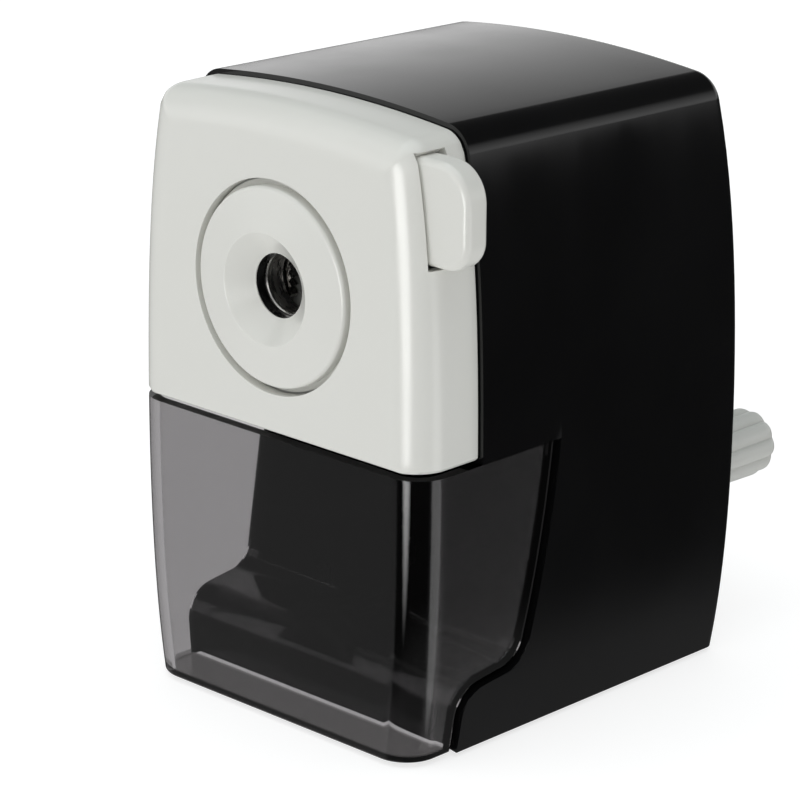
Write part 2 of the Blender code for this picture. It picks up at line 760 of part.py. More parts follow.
def make_guide_sleeve():
    start, end = SLEEVE_Y
    profile = [(6.0, end), (6.0, start + 0.1), (4.9, start), (4.6, start + 0.2), (4.6, end - 0.2), (4.8, end)]
    return as_part(turned("guide_sleeve", profile, (0, 0, AXIS_Z), closed=True), STEEL, CARRIAGE)


def make_carriage_back():
    outline = body_outline(FRONT_TOP_Z, PLATE_LIP + WALL + 0.5, PLATE_BOTTOM_Z + WALL + 0.5)
    plate = prism("carriage_back", outline, BACK_PLATE_Y, BACK_PLATE_Y + BACK_PLATE_THICKNESS)
    cut(plate, cylinder("back_pencil_hole", PENCIL_HOLE_RADIUS + 0.3, 6.0, (0, 8.0, AXIS_Z)))
    for side in (-1, 1):
        cut(plate, cylinder(f"back_rod_hole_{side}", ROD_RADIUS + FIT, 6.0, (side * ROD_X, 8.0, ROD_Z), steps=20))
    for place, (x, z) in BACK_SCREWS.items():
        cut(plate, cylinder(f"back_screw_hole_{place}", SCREW_RADIUS + FIT, 6.0, (x, 8.0, z), steps=12))
    return as_part(plate, GREY_PLASTIC, CARRIAGE)


def make_guide_rod(side, x):
    groove = ROD_RADIUS - 0.6
    clip_at = CLIP_Y - ROD_START_Y
    length = ROD_END_Y - ROD_START_Y
    profile = [
        (0.0, length),
        (ROD_RADIUS - 0.3, length),
        (ROD_RADIUS, length - 0.3),
        (ROD_RADIUS, clip_at + 0.9),
        (groove, clip_at + 0.9),
        (groove, clip_at - 0.3),
        (ROD_RADIUS, clip_at - 0.3),
        (ROD_RADIUS, 0.3),
        (ROD_RADIUS - 0.3, 0.0),
        (0.0, 0.0),
    ]
    rod = turned(f"guide_rod_{side}", profile, (x, ROD_START_Y, ROD_Z), steps=16)
    return as_part(rod, STEEL, CARRIAGE)


def make_rod_clip(side, x):
    thickness = 0.6
    inner = ROD_RADIUS - 0.3
    profile = [(4.2, thickness), (4.2, 0.0), (inner, 0.0), (inner, thickness)]
    clip = turned(f"rod_clip_{side}", profile, (x, CLIP_Y, ROD_Z), closed=True, steps=16)
    return as_part(clip, STEEL, CARRIAGE)


def make_rod_spring(side, x):
    start = Vector((x, BULKHEAD_Y[1] + 1.9, ROD_Z))
    end = Vector((x, CLIP_Y - FIT, ROD_Z))
    spring = coil(f"rod_spring_{side}", start, end, "Y", 3.0, 0.3, 8)
    return as_part(spring, STEEL, ROOT, smooth_angle=80)


def jaw_outline(base_x, face_x, teeth):
    """A bar with saw teeth on its gripping face, as (x, z) points."""
    low = AXIS_Z - JAW_HALF_HEIGHT
    pitch = 2 * JAW_HALF_HEIGHT / teeth
    depth = math.copysign(0.6, base_x - face_x)
    points = [(base_x, low)]
    for i in range(teeth):
        points += [(face_x + depth, low + pitch * i), (face_x, low + pitch * (i + 0.5))]
    points += [(face_x + depth, low + pitch * teeth), (base_x, low + pitch * teeth)]
    return points


def make_jaws():
    y = (SLIDER_Y[0] + 0.1, SLIDER_Y[0] + 0.1 + JAW_THICKNESS)
    moving = prism("clamp_jaw", jaw_outline(WINDOW_X[0] + FIT, MOVING_JAW_X, JAW_TEETH), *y)
    as_part(moving, STEEL, LEVER)
    fixed = prism("fixed_jaw", jaw_outline(FIXED_JAW_X + 1.7, FIXED_JAW_X, JAW_TEETH), *y)
    as_part(fixed, STEEL, CARRIAGE)


def make_release_lever():
    """Paddle outside, and inside it a flat slider with a window round the pencil."""
    low, high = PADDLE_Z
    tip = PADDLE_TIP_X
    outline = [(PADDLE_ROOT_X, low), (PADDLE_ROOT_X, high)]
    outline += arc((tip - PADDLE_TOP_RADIUS, high - PADDLE_TOP_RADIUS), PADDLE_TOP_RADIUS, 90, 0, 7)
    outline += arc((tip - PADDLE_BOTTOM_RADIUS, low + PADDLE_BOTTOM_RADIUS), PADDLE_BOTTOM_RADIUS, 0, -90, 6)
    lever = prism("release_lever", outline, *PADDLE_Y)
    bevel(lever, 1.0, segments=2)
    slider = [
        (SLIDER_X[0], SLIDER_Z[0]),
        (SLIDER_X[1], SLIDER_Z[0]),
        (SLIDER_X[1], 80.0),
        (PADDLE_ROOT_X + 1.5, 80.0),
        (PADDLE_ROOT_X + 1.5, 90.0),
        (6.0, 90.0),
        (6.0, SLIDER_Z[1]),
        (SLIDER_X[0], SLIDER_Z[1]),
    ]
    lug = box(
        "spring_lug", (SLIDER_X[0], SLIDER_X[0] + 1.8), (4.0, SLIDER_Y[1]), (AXIS_Z - 3.0, AXIS_Z + 3.0)
    )
    join(lever, prism("slider", slider, *SLIDER_Y), lug)
    cut(lever, box("slider_window", WINDOW_X, (6.0, 11.0), WINDOW_Z))
    return as_part(lever, WHITE_PLASTIC, LEVER)


def make_lever_spring():
    middle_y = 6.4
    start = Vector((LEVER_SPRING_SEAT_X, middle_y, AXIS_Z))
    end = Vector((SLIDER_X[0] - FIT, middle_y, AXIS_Z))
    spring = coil("lever_spring", start, end, "X", 1.9, 0.25, 5)
    return as_part(spring, STEEL, CARRIAGE, smooth_angle=80)


# ---------------------------------------------------------------- inner frame and drive

def make_mechanism_frame():
    """Bulkhead, shelf and rear plate in one moulding that carries the drive and the rods."""
    inset = WALL + 0.5
    low = SHELF_TOP_Z - WALL
    bulkhead = prism("mechanism_frame", body_outline(FRONT_TOP_Z - 0.1, inset, low, sides=6), *BULKHEAD_Y)
    shelf = box("frame_shelf", (-26.5, 26.5), (BULKHEAD_Y[0] + 0.5, REAR_PLATE_Y[1]), (low, SHELF_TOP_Z))
    rear = box("frame_rear", (-24.0, 24.0), REAR_PLATE_Y, (low + 0.5, 91.0))
    collar = cylinder("frame_collar", 20.3, COLLAR_END_Y - BULKHEAD_Y[1] + 0.5, (0, BULKHEAD_Y[1] - 0.5, AXIS_Z))
    join(bulkhead, shelf, rear, collar)
    for side in (-1, 1):
        web = box(
            f"frame_web_{side}",
            sorted((side * 23.5, side * 25.0)),
            (BULKHEAD_Y[0] + 1.0, REAR_PLATE_Y[1] - 0.5),
            (low + 0.5, 51.5),
        )
        boss = cylinder(f"rod_boss_{side}", 3.8, 3.4, (side * ROD_X, 13.5, ROD_Z), steps=20)
        join(bulkhead, web, boss)
    for place, (x, z) in FRAME_SCREWS.items():
        start = REAR_PLATE_Y[1] - 0.5
        end = BODY_DEPTH - rear_bow(z + 3.4) - WALL - FIT
        join(bulkhead, cylinder(f"frame_boss_{place}", 3.4, end - start, (x, start, z), steps=16))

    ring_room = cylinder(
        "ring_room", RING_OUTER_RADIUS + FIT, RING_Y[1] - RING_Y[0] + 0.5, (0, RING_Y[0] - 0.25, AXIS_Z), steps=36
    )
    disc_room = cylinder("disc_room", FRONT_DISC_RADIUS + 0.45, 8.0, (0, RING_Y[1], AXIS_Z), steps=36)
    pencil = cylinder("frame_pencil_hole", PENCIL_HOLE_RADIUS, 8.0, (0, 10.0, AXIS_Z))
    lead_in = cylinder("frame_lead_in", 6.4, 2.0, (0, BULKHEAD_Y[0] - 0.6, AXIS_Z), end_radius=4.4)
    chute = box("chute", (-17.0, 17.0), (25.5, 60.0), (40.0, SHELF_TOP_Z + 1.0))
    shaft_hole = cylinder("frame_shaft_hole", 6.8, 8.0, (0, 60.0, AXIS_Z))
    cut(bulkhead, ring_room, disc_room, pencil, lead_in, chute, shaft_hole)
    for side in (-1, 1):
        bore = cylinder(f"rod_guide_bore_{side}", ROD_RADIUS + FIT, 10.0, (side * ROD_X, 10.0, ROD_Z), steps=20)
        cut(bulkhead, bore)
    for place, (x, z) in FRAME_SCREWS.items():
        hole = cylinder(f"frame_hole_{place}", SCREW_RADIUS + FIT, 10.0, (x, 61.0, z), steps=12)
        cut(bulkhead, hole)
    return as_part(bulkhead, FRAME_PLASTIC, ROOT)


def gear_outline(teeth, inward, first_angle=90.0, share=0.36):
    """Tooth outline (x, z). An inward gear has its teeth pointing at the centre, with a gap at first_angle."""
    pitch_radius = MODULE * teeth / 2
    way = -1.0 if inward else 1.0
    tip = pitch_radius + way * 0.8 * MODULE
    root = pitch_radius - way * 1.1 * MODULE
    pitch = 2 * math.pi / teeth
    start = math.radians(first_angle) + (pitch / 2 if inward else 0.0)
    points = []
    for i in range(teeth):
        middle = start + i * pitch
        for radius, offset in ((root, -0.62), (tip, -0.36), (tip, 0.36), (root, 0.62)):
            angle = middle + offset * share / 0.5 * pitch / 2 * (pitch_radius / radius)
            points.append((radius * math.cos(angle), radius * math.sin(angle)))
    return points


def make_ring_gear():
    inner = gear_outline(RING_TEETH, inward=True)
    gear = cylinder("ring_gear", RING_OUTER_RADIUS, RING_Y[1] - RING_Y[0], (0, RING_Y[0], AXIS_Z), steps=40)
    teeth = prism("ring_teeth", [(x, z + AXIS_Z) for x, z in inner], RING_Y[0] - 1.0, RING_Y[1] + 1.0)
    cut(gear, teeth)
    return as_part(gear, GEAR_PLASTIC, ROOT)


def pinion_offset():
    return MODULE * (RING_TEETH - PINION_TEETH) / 2


def cutter_place(y):
    """Point on the cutter's tilted axis at a distance from the front."""
    return Vector((0, y, AXIS_Z + pinion_offset() - (y - PINION_Y) * math.tan(CUTTER_TILT)))


def on_cutter_axis(obj, y):
    """Lays a shape that was built along Z on the cutter's axis."""
    obj.location = cutter_place(y) * MM
    obj.rotation_euler = (-math.pi / 2 - CUTTER_TILT, 0, 0)
    bpy.context.view_layer.update()
    return obj


def tilted_bar(name, radius, start_y, end_y, steps=ROUND_STEPS):
    length = (end_y - start_y) / math.cos(CUTTER_TILT)
    return on_cutter_axis(cylinder(name, radius, length, (0, 0, 0), axis="Z", steps=steps), start_y)


def make_cutter_carrier():
    """Front disc, a trough round the pencil and a rear disc with the hub for the shaft."""
    front, rear = FRONT_DISC_Y, REAR_DISC_Y
    hub_end = 62.4
    profile = [
        (SHAFT_RADIUS + FIT, hub_end),
        (5.6, hub_end),
        (5.6, rear[1]),
        (REAR_DISC_RADIUS, rear[1]),
        (REAR_DISC_RADIUS, rear[0]),
        (6.6, rear[0]),
        (7.9, front[1]),
        (FRONT_DISC_RADIUS, front[1]),
        (FRONT_DISC_RADIUS, front[0]),
        (PENCIL_HOLE_RADIUS - 0.1, front[0]),
        (PENCIL_HOLE_RADIUS + 0.7, front[1] + 1.0),
        (4.6, rear[0] - 1.0),
        (SHAFT_RADIUS + FIT, rear[0] - 1.0),
    ]
    carrier = turned("cutter_carrier", profile, (0, 0, AXIS_Z), closed=True, steps=28)
    room = tilted_bar("cutter_room", CUTTER_RADIUS + 0.6, CUTTER_Y[0] - 0.3, CUTTER_Y[1] + 0.3)
    room_top = box(
        "cutter_room_top",
        (-CUTTER_RADIUS - 0.6, CUTTER_RADIUS + 0.6),
        (front[1], rear[0]),
        (AXIS_Z + 4.0, AXIS_Z + 20.0),
    )
    neck = tilted_bar("pinion_neck_hole", 2.95, PINION_Y + 1.0, CUTTER_Y[0] + 0.5, steps=20)
    pin_hole = tilted_bar("pin_hole", PIN_RADIUS + FIT, 49.0, 57.0, steps=16)
    cut(carrier, room, room_top, neck, pin_hole)
    return as_part(carrier, CAST_ZINC, CRANK)


def make_helical_cutter():
    length = (CUTTER_Y[1] - CUTTER_Y[0]) / math.cos(CUTTER_TILT)
    root = CUTTER_RADIUS - 1.1
    rings = []
    for height in span(0.0, length, 6):
        twist = CUTTER_TWIST * height / length
        ring = []
        for i in range(CUTTER_FLUTES):
            for radius, share in ((CUTTER_RADIUS, 0.0), (CUTTER_RADIUS, 0.16), (root, 0.42), (root, 0.86)):
                angle = twist + 2 * math.pi * (i + share) / CUTTER_FLUTES
                ring.append((radius * math.cos(angle), radius * math.sin(angle), height))
        rings.append(ring)
    cutter = on_cutter_axis(loft("helical_cutter", rings, cap_start=True, cap_end=True), CUTTER_Y[0])
    cut(cutter, tilted_bar("cutter_bore", PIN_RADIUS + FIT, 20.0, 56.0, steps=16))
    return as_part(cutter, STEEL, CUTTER)


def make_cutter_pinion():
    """The pinion is built along Z with a tooth towards local -Y, which is outwards once it is laid down."""
    outline = gear_outline(PINION_TEETH, inward=False, first_angle=-90.0)
    shape = bmesh.new()
    half = PINION_WIDTH / 2
    face = shape.faces.new([shape.verts.new((x, y, -half)) for x, y in outline])
    grown = bmesh.ops.extrude_face_region(shape, geom=[face])
    moved = [item for item in grown["geom"] if isinstance(item, bmesh.types.BMVert)]
    bmesh.ops.translate(shape, verts=moved, vec=(0, 0, PINION_WIDTH))
    pinion = on_cutter_axis(object_from_bmesh("cutter_pinion", shape), PINION_Y)
    join(pinion, tilted_bar("pinion_hub", 2.6, PINION_Y + 1.0, CUTTER_Y[0] - FIT, steps=20))
    cut(pinion, tilted_bar("pinion_bore", PIN_RADIUS + FIT, 14.0, 27.0, steps=16))
    return as_part(pinion, GEAR_PLASTIC, CUTTER)


def make_cutter_pin():
    pin = tilted_bar("cutter_pin", PIN_RADIUS, 16.2, REAR_DISC_Y[1] - 0.2, steps=16)
    return as_part(pin, STEEL, CRANK)


def make_drive_shaft():
    length = SHAFT_Y[1] - SHAFT_Y[0]
    hole = SCREW_RADIUS + FIT
    profile = [
        (hole, length),
        (SHAFT_RADIUS - 0.3, length),
        (SHAFT_RADIUS, length - 0.3),
        (SHAFT_RADIUS, 0.3),
        (SHAFT_RADIUS - 0.3, 0.0),
        (0.0, 0.0),
        (0.0, length - 9.0),
        (hole, length - 9.0),
    ]
    shaft = turned("drive_shaft", profile, (0, SHAFT_Y[0], AXIS_Z), closed=True, steps=24)
    return as_part(shaft, STEEL, CRANK)


def make_rear_bush():
    profile = [
        (SHAFT_RADIUS + FIT, 9.6),
        (6.4, 9.6),
        (6.4, 4.4),
        (8.9, 4.4),
        (8.9, 3.2),
        (6.4, 3.2),
        (6.4, 0.0),
        (SHAFT_RADIUS + FIT, 0.0),
    ]
    bush = turned("rear_bush", profile, (0, 62.9, AXIS_Z), closed=True)
    return as_part(bush, GEAR_PLASTIC, ROOT)


def knob_centre():
    return (
        CRANK_RADIUS * math.cos(CRANK_ANGLE),
        AXIS_Z + CRANK_RADIUS * math.sin(CRANK_ANGLE),
    )


def make_crank_arm():
    x, z = knob_centre()
    direction = math.degrees(CRANK_ANGLE)
    outline = arc((0, AXIS_Z), HUB_RADIUS, direction + 90, direction + 270, 15)
    outline += arc((x, z), ARM_END_RADIUS, direction - 90, direction + 90, 13)
    arm = prism("crank_arm", outline, *ARM_Y)
    bevel(arm, 0.8, segments=2)
    boss = cylinder("arm_boss", 6.2, 3.4, (0, 72.9, AXIS_Z))
    join(arm, boss)
    cut(arm, cylinder("arm_shaft_hole", SHAFT_RADIUS + FIT, 8.0, (0, 72.0, AXIS_Z)))
    cut(arm, cylinder("arm_screw_hole", SCREW_RADIUS + FIT, 12.0, (0, 72.0, AXIS_Z), steps=16))
    cut(arm, cylinder("arm_pin_hole", KNOB_PIN_RADIUS + FIT, 12.0, (x, 72.0, z), steps=20))
    return as_part(arm, GREY_PLASTIC, CRANK)


def make_knob_pin():
    x, z = knob_centre()
    radius = KNOB_PIN_RADIUS
    length = 22.0
    profile = [(0.0, length), (radius - 0.3, length), (radius, length - 0.3), (radius, 1.0), (3.5, 1.0)]
    profile += [(3.5, 0.4), (3.1, 0.0), (0.0, 0.0)]
    pin = turned("knob_pin", profile, (x, ARM_Y[0] - 1.3, z), steps=20)
    return as_part(pin, STEEL, CRANK)


def make_crank_knob():
    """Scalloped grip with a domed end, turned in plan from lobes and bored for its pin."""
    x, z = knob_centre()
    length = KNOB_Y[1] - KNOB_Y[0]
    per_lobe = 4
    depth = 0.7
    count = KNOB_LOBES * per_lobe
    stations = [(0.0, 0.86), (0.8, 0.94), (length - 2.2, 1.0), (length - 0.8, 0.9), (length, 0.66)]
    rings = []
    for height, scale in stations:
        ring = []
        for i in range(count):
            angle = 2 * math.pi * i / count
            dip = depth * (1 - abs(math.cos(KNOB_LOBES * angle / 2)))
            radius = (KNOB_RADIUS - dip) * scale
            ring.append((radius * math.cos(angle), radius * math.sin(angle), height))
        rings.append(ring)
    knob = loft("crank_knob", rings, cap_start=True, cap_end=True)
    knob.location = Vector((x, KNOB_Y[0], z)) * MM
    knob.rotation_euler = TURN["Y"]
    bpy.context.view_layer.update()
    bore = cylinder("knob_bore", KNOB_PIN_RADIUS + FIT, 17.2, (x, KNOB_Y[0] - 2.0, z), steps=20)
    cut(knob, bore)
    return as_part(knob, GREY_PLASTIC, KNOB)


# ---------------------------------------------------------------- assembly

ROOT = empty("sharpener_origin", (0, 0, 0))
DRAWER = empty("drawer_axis", (0, 0, DRAWER_BOTTOM_Z), ROOT)
CARRIAGE = empty("carriage_axis", (0, SEAM_Y, AXIS_Z), ROOT)
LEVER = empty("lever_axis", (PADDLE_ROOT_X, PADDLE_Y[0], AXIS_Z), CARRIAGE)
CRANK = empty("crank_axis", (0, SHAFT_Y[0], AXIS_Z), ROOT)
CUTTER = empty("cutter_axis", cutter_place(PINION_Y), CRANK)
KNOB = empty("knob_axis", (knob_centre()[0], KNOB_Y[0], knob_centre()[1]), CRANK)

make_outer_shell()
make_base_pan()
for foot_place, (foot_x, foot_y) in FEET.items():
    make_foot(foot_place, foot_x, foot_y)
for screw_place, (screw_x, screw_y) in BASE_SCREWS.items():
    make_screw(f"base_screw_{screw_place}", (screw_x, screw_y, 1.1), "Z", BASE_SCREW_LENGTH, 1.0, ROOT)
make_mechanism_frame()
for screw_place, (screw_x, screw_z) in FRAME_SCREWS.items():
    outside = BODY_DEPTH - rear_bow(screw_z) + 1.6
    make_screw(f"frame_screw_{screw_place}", (screw_x, outside, screw_z), "Y", 10.5, -1.0, ROOT)
make_ring_gear()
make_rear_bush()

make_drawer()

make_front_plate()
make_guide_dial()
make_guide_sleeve()
make_carriage_back()
for rod_side, rod_x in (("left", -ROD_X), ("right", ROD_X)):
    make_guide_rod(rod_side, rod_x)
    make_rod_clip(rod_side, rod_x)
    make_rod_spring(rod_side, rod_x)
for screw_place, (screw_x, screw_z) in BACK_SCREWS.items():
    head_y = BACK_PLATE_Y + BACK_PLATE_THICKNESS + 1.3
    make_screw(f"back_screw_{screw_place}", (screw_x, head_y, screw_z), "Y", BACK_SCREW_LENGTH, -1.0, CARRIAGE)
make_jaws()
make_release_lever()
make_lever_spring()

make_cutter_carrier()
make_drive_shaft()
make_cutter_pin()
make_helical_cutter()
make_cutter_pinion()
make_crank_arm()
make_screw("crank_screw", (0, ARM_Y[1] + 1.6, AXIS_Z), "Y", 9.0, -1.0, CRANK)
make_knob_pin()
make_crank_knob()

# The footprint runs from the left side to the lever's tip, and from the funnel's rim to the knob's end.
ROOT.location = (
    -(PADDLE_TIP_X - MAX_HALF_WIDTH) / 2 * MM,
    -(KNOB_Y[1] + FUNNEL_RIM_Y) / 2 * MM,
    FOOT_PROUD * MM,
)
bpy.context.view_layer.update()
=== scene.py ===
"""Looks of the desk pencil sharpener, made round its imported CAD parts.

Shapes are written in millimetres in the case's own frame, as in the part's source: X = 0 is the
case's plane of symmetry, Y = 0 its front and Z = 0 its lower edge.
"""

import json
import math

import bmesh
import bpy
from mathutils import Matrix, Vector


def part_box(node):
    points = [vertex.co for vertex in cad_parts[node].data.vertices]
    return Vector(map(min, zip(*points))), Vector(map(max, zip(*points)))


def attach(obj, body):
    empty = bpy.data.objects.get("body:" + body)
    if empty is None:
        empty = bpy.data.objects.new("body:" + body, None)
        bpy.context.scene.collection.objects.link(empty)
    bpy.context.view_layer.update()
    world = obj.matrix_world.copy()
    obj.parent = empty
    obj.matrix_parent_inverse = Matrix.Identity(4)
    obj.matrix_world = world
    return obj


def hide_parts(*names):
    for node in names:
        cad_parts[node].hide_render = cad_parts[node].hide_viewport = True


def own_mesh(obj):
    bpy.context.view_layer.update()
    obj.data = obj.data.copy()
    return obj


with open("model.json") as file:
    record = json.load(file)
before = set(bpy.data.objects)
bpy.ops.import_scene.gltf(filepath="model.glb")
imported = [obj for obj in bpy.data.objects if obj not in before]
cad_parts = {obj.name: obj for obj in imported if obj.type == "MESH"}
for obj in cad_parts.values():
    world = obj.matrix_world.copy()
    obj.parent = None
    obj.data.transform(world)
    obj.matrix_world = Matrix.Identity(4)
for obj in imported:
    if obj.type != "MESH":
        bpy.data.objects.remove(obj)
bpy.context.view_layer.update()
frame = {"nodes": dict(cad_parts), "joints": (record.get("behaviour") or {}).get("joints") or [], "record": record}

MM = 0.001


def joint(name):
    return next(item for item in frame["joints"] if item["name"] == name)


SHELL_LOW, SHELL_HIGH = (Vector(corner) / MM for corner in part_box("outer_shell"))
DRAWER_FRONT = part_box("shavings_drawer")[0][1] / MM
CASE_ORIGIN = Vector(((SHELL_LOW.x + SHELL_HIGH.x) / 2, DRAWER_FRONT, SHELL_LOW.z))


def in_case(point_m):
    """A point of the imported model, in millimetres in the case's frame."""
    return Vector(point_m) / MM - CASE_ORIGIN


def low(node):
    return in_case(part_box(node)[0])


def high(node):
    return in_case(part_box(node)[1])


# Case surface: the sides bow outwards about the waist, and the roof is crowned
MAX_HALF_WIDTH = high("outer_shell").x
WAIST_Z = 44.0
HALF_HEIGHT = 54.0
SIDE_BOW = 2.25
SIDE_BOW_TOP = 2.3
FRONT_TOP_Z = high("outer_shell").z
REAR_TOP_DROP = 1.3
CROWN_BOW = 2.43
BODY_DEPTH = 72.8
REAR_BOW = 3.1
REAR_BOW_Z = WAIST_Z - 9.0
TOP_EDGE_RADIUS = 5.0
REAR_EDGE_RADIUS = 2.0
FRONT_EDGE_RADIUS = 5.8
FRONT_BOW = 0.00024
FRONT_BOW_Z = 41.0
WALL = 2.0

# Lines that divide the case
SEAM_Y = 12.7
SEAM_GAP = 0.3
PLATE_LIP = 0.8
PLATE_BOTTOM_Z = low("front_plate").z
DRAWER_TOP_Z = high("shavings_drawer").z
DRAWER_BOTTOM_Z = low("shavings_drawer").z
DRAWER_WALL = 1.8
DRAWER_THIN_WALL = 0.7
SHELL_CUT_Z = 46.4
WING_GAP = 0.9

# Working axis and front details
AXIS_Z = in_case(joint("crank_turn")["pos_m"]).z
DIAL_RADIUS = 15.65
WINDOW_RADIUS = 16.65
FUNNEL_RADIUS = 8.5
FUNNEL_RIM_Y = low("guide_dial").y
HOLE_Y = 1.6
HOLE_RADIUS = 5.0
SLOT_Y = (3.3, 9.0)
SLOT_Z = (77.5, 94.6)
KNOB = in_case(joint("knob_spin")["pos_m"])
PIN_BORE = 2.3
SCREW_BORE = 1.7

LIGHT_TARGET = Vector((0, 0, 50.0)) * MM

PIECES = bpy.data.collections.new("visual_pieces")
STAGE = bpy.data.collections.new("stage")
bpy.context.scene.collection.children.link(PIECES)
bpy.context.scene.collection.children.link(STAGE)


# ---------------------------------------------------------------- small helpers

def span(start, end, count):
    """Evenly spaced values from start to end, both included."""
    return [start + (end - start) * i / (count - 1) for i in range(count)]


def blend(first, second, share):
    return tuple(a + (b - a) * share for a, b in zip(first, second))


def arc(centre, radius, start, end, count):
    """Points round an arc; angles are in degrees."""
    return [
        (
            centre[0] + radius * math.cos(math.radians(angle)),
            centre[1] + radius * math.sin(math.radians(angle)),
        )
        for angle in span(start, end, count)
    ]


def resample(line, count):
    """The same line with evenly spaced points."""
    lengths = [0.0]
    for first, second in zip(line, line[1:]):
        lengths.append(lengths[-1] + math.dist(first, second))
    points = []
    place = 0
    for wanted in span(0.0, lengths[-1], count):
        while place < len(line) - 2 and lengths[place + 1] < wanted:
            place += 1
        share = (wanted - lengths[place]) / (lengths[place + 1] - lengths[place])
        points.append(blend(line[place], line[place + 1], share))
    return points


class Skin:
    """Gathers faces by their corners, in millimetres; corners that coincide become one."""

    def __init__(self):
        self.shape = bmesh.new()
        self.known = {}

    def corner(self, point):
        key = tuple(round(value, 4) for value in point)
        if key not in self.known:
            self.known[key] = self.shape.verts.new(Vector(point) * MM)
        return self.known[key]

    def face(self, *points):
        corners = list(dict.fromkeys(self.corner(point) for point in points))
        if len(corners) > 2:
            self.shape.faces.new(corners)

    def both_sides(self, *points):
        self.face(*points)
        self.face(*[(-x, y, z) for x, y, z in reversed(points)])

    def piece(self, name, inside=None):
        """Makes the object. Faces look away from the inside point, where one is given."""
        bmesh.ops.recalc_face_normals(self.shape, faces=self.shape.faces)
        if inside is not None:
            centre = Vector(inside) * MM
            outward = sum(
                face.normal.dot(face.calc_center_median() - centre) * face.calc_area()
                for face in self.shape.faces
            )
            if outward < 0:
                bmesh.ops.reverse_faces(self.shape, faces=self.shape.faces)
        mesh = bpy.data.meshes.new(name)
        self.shape.to_mesh(mesh)
        self.shape.free()
        return put(bpy.data.objects.new(name, mesh))


def put(obj):
    obj.location = CASE_ORIGIN * MM
    PIECES.objects.link(obj)
    return obj


def loft(name, rings, closed=False):
    """Skins rings of equally many (x, y, z) points, capped unless the last meets the first."""
    skin = Skin()
    following = rings[1:]
    if closed:
        following.append(rings[0])
    for first, second in zip(rings, following):
        for i in range(len(first)):
            j = (i + 1) % len(first)
            skin.face(first[i], first[j], second[j], second[i])
    if not closed:
        skin.face(*rings[0])
        skin.face(*rings[-1])
    return skin.piece(name)


def turned(name, profile, centre, steps=128, way=(0, 1, 0)):
    """A closed profile of (radius, distance) points, turned about an axis that starts at centre."""
    way = Vector(way).normalized()
    basis = way.to_track_quat("Z", "X").to_matrix()
    start = Vector(centre)
    rings = []
    for i in range(steps):
        angle = 2 * math.pi * i / steps
        ring = []
        for radius, distance in profile:
            local = Vector((radius * math.cos(angle), radius * math.sin(angle), distance))
            ring.append(tuple(start + basis @ local))
        rings.append(ring)
    return loft(name, rings, closed=True)


def prism(name, outline, start, end, axis="Y"):
    """A flat outline with thickness: (x, z) points for axis Y, (y, z) points for axis X."""
    if axis == "Y":
        rings = [[(a, level, b) for a, b in outline] for level in (start, end)]
    else:
        rings = [[(level, a, b) for a, b in outline] for level in (start, end)]
    return loft(name, rings)


def box(name, x, y, z):
    corners = [(x[0], z[0]), (x[1], z[0]), (x[1], z[1]), (x[0], z[1])]
    return prism(name, corners, *y)


def rod(name, radius, start, end, steps):
    """A round bar between two points."""
    way = Vector(end) - Vector(start)
    profile = [(0.0, way.length), (radius, way.length), (radius, 0.0), (0.0, 0.0)]
    return turned(name, profile, start, steps, way)


def modifier(obj, kind, **values):
    made = obj.modifiers.new(kind.lower(), kind)
    for key, value in values.items():
        setattr(made, key, value)
    return made


def boolean(obj, helper, operation):
    """Cuts or joins at once and removes the helper."""
    modifier(obj, "BOOLEAN", object=helper, operation=operation)
    apply_modifiers(obj)
    bpy.data.objects.remove(helper, do_unlink=True)


def cut(obj, *helpers):
    for helper in helpers:
        boolean(obj, helper, "DIFFERENCE")


def join(obj, *helpers):
    for helper in helpers:
        boolean(obj, helper, "UNION")


def apply_modifiers(obj):
    bpy.context.view_layer.update()
    graph = bpy.context.evaluated_depsgraph_get()
    mesh = bpy.data.meshes.new_from_object(obj.evaluated_get(graph))
    obj.modifiers.clear()
    obj.data = mesh


def thicken(obj):
    """Gives an open skin the casing's wall thickness, inwards."""
    modifier(obj, "SOLIDIFY", thickness=WALL * MM, offset=-1.0, use_even_offset=True)
    apply_modifiers(obj)


def bevel(obj, width, segments, angle):
    """Rounds the edges that are sharper than an angle in degrees."""
    modifier(
        obj,
        "BEVEL",
        width=width * MM,
        segments=segments,
        limit_method="ANGLE",
        angle_limit=math.radians(angle),
        use_clamp_overlap=True,
        miter_outer="MITER_ARC",
    )
    apply_modifiers(obj)


def shade(obj, sharp):
    obj.data.shade_smooth()
    obj.data.set_sharp_from_angle(angle=math.radians(sharp))
    modifier(obj, "WEIGHTED_NORMAL", keep_sharp=True, weight=80)
    apply_modifiers(obj)


def dress(obj, body, slot, *nodes, sharp=35.0):
    """Shades a finished piece, gives it its material and says what it rides on and stands for."""
    shade(obj, sharp)
    obj.data.materials.clear()
    obj.data.materials.append(LOOKS[slot])
    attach(obj, body)
    if nodes:
        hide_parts(*nodes)


# ---------------------------------------------------------------- materials

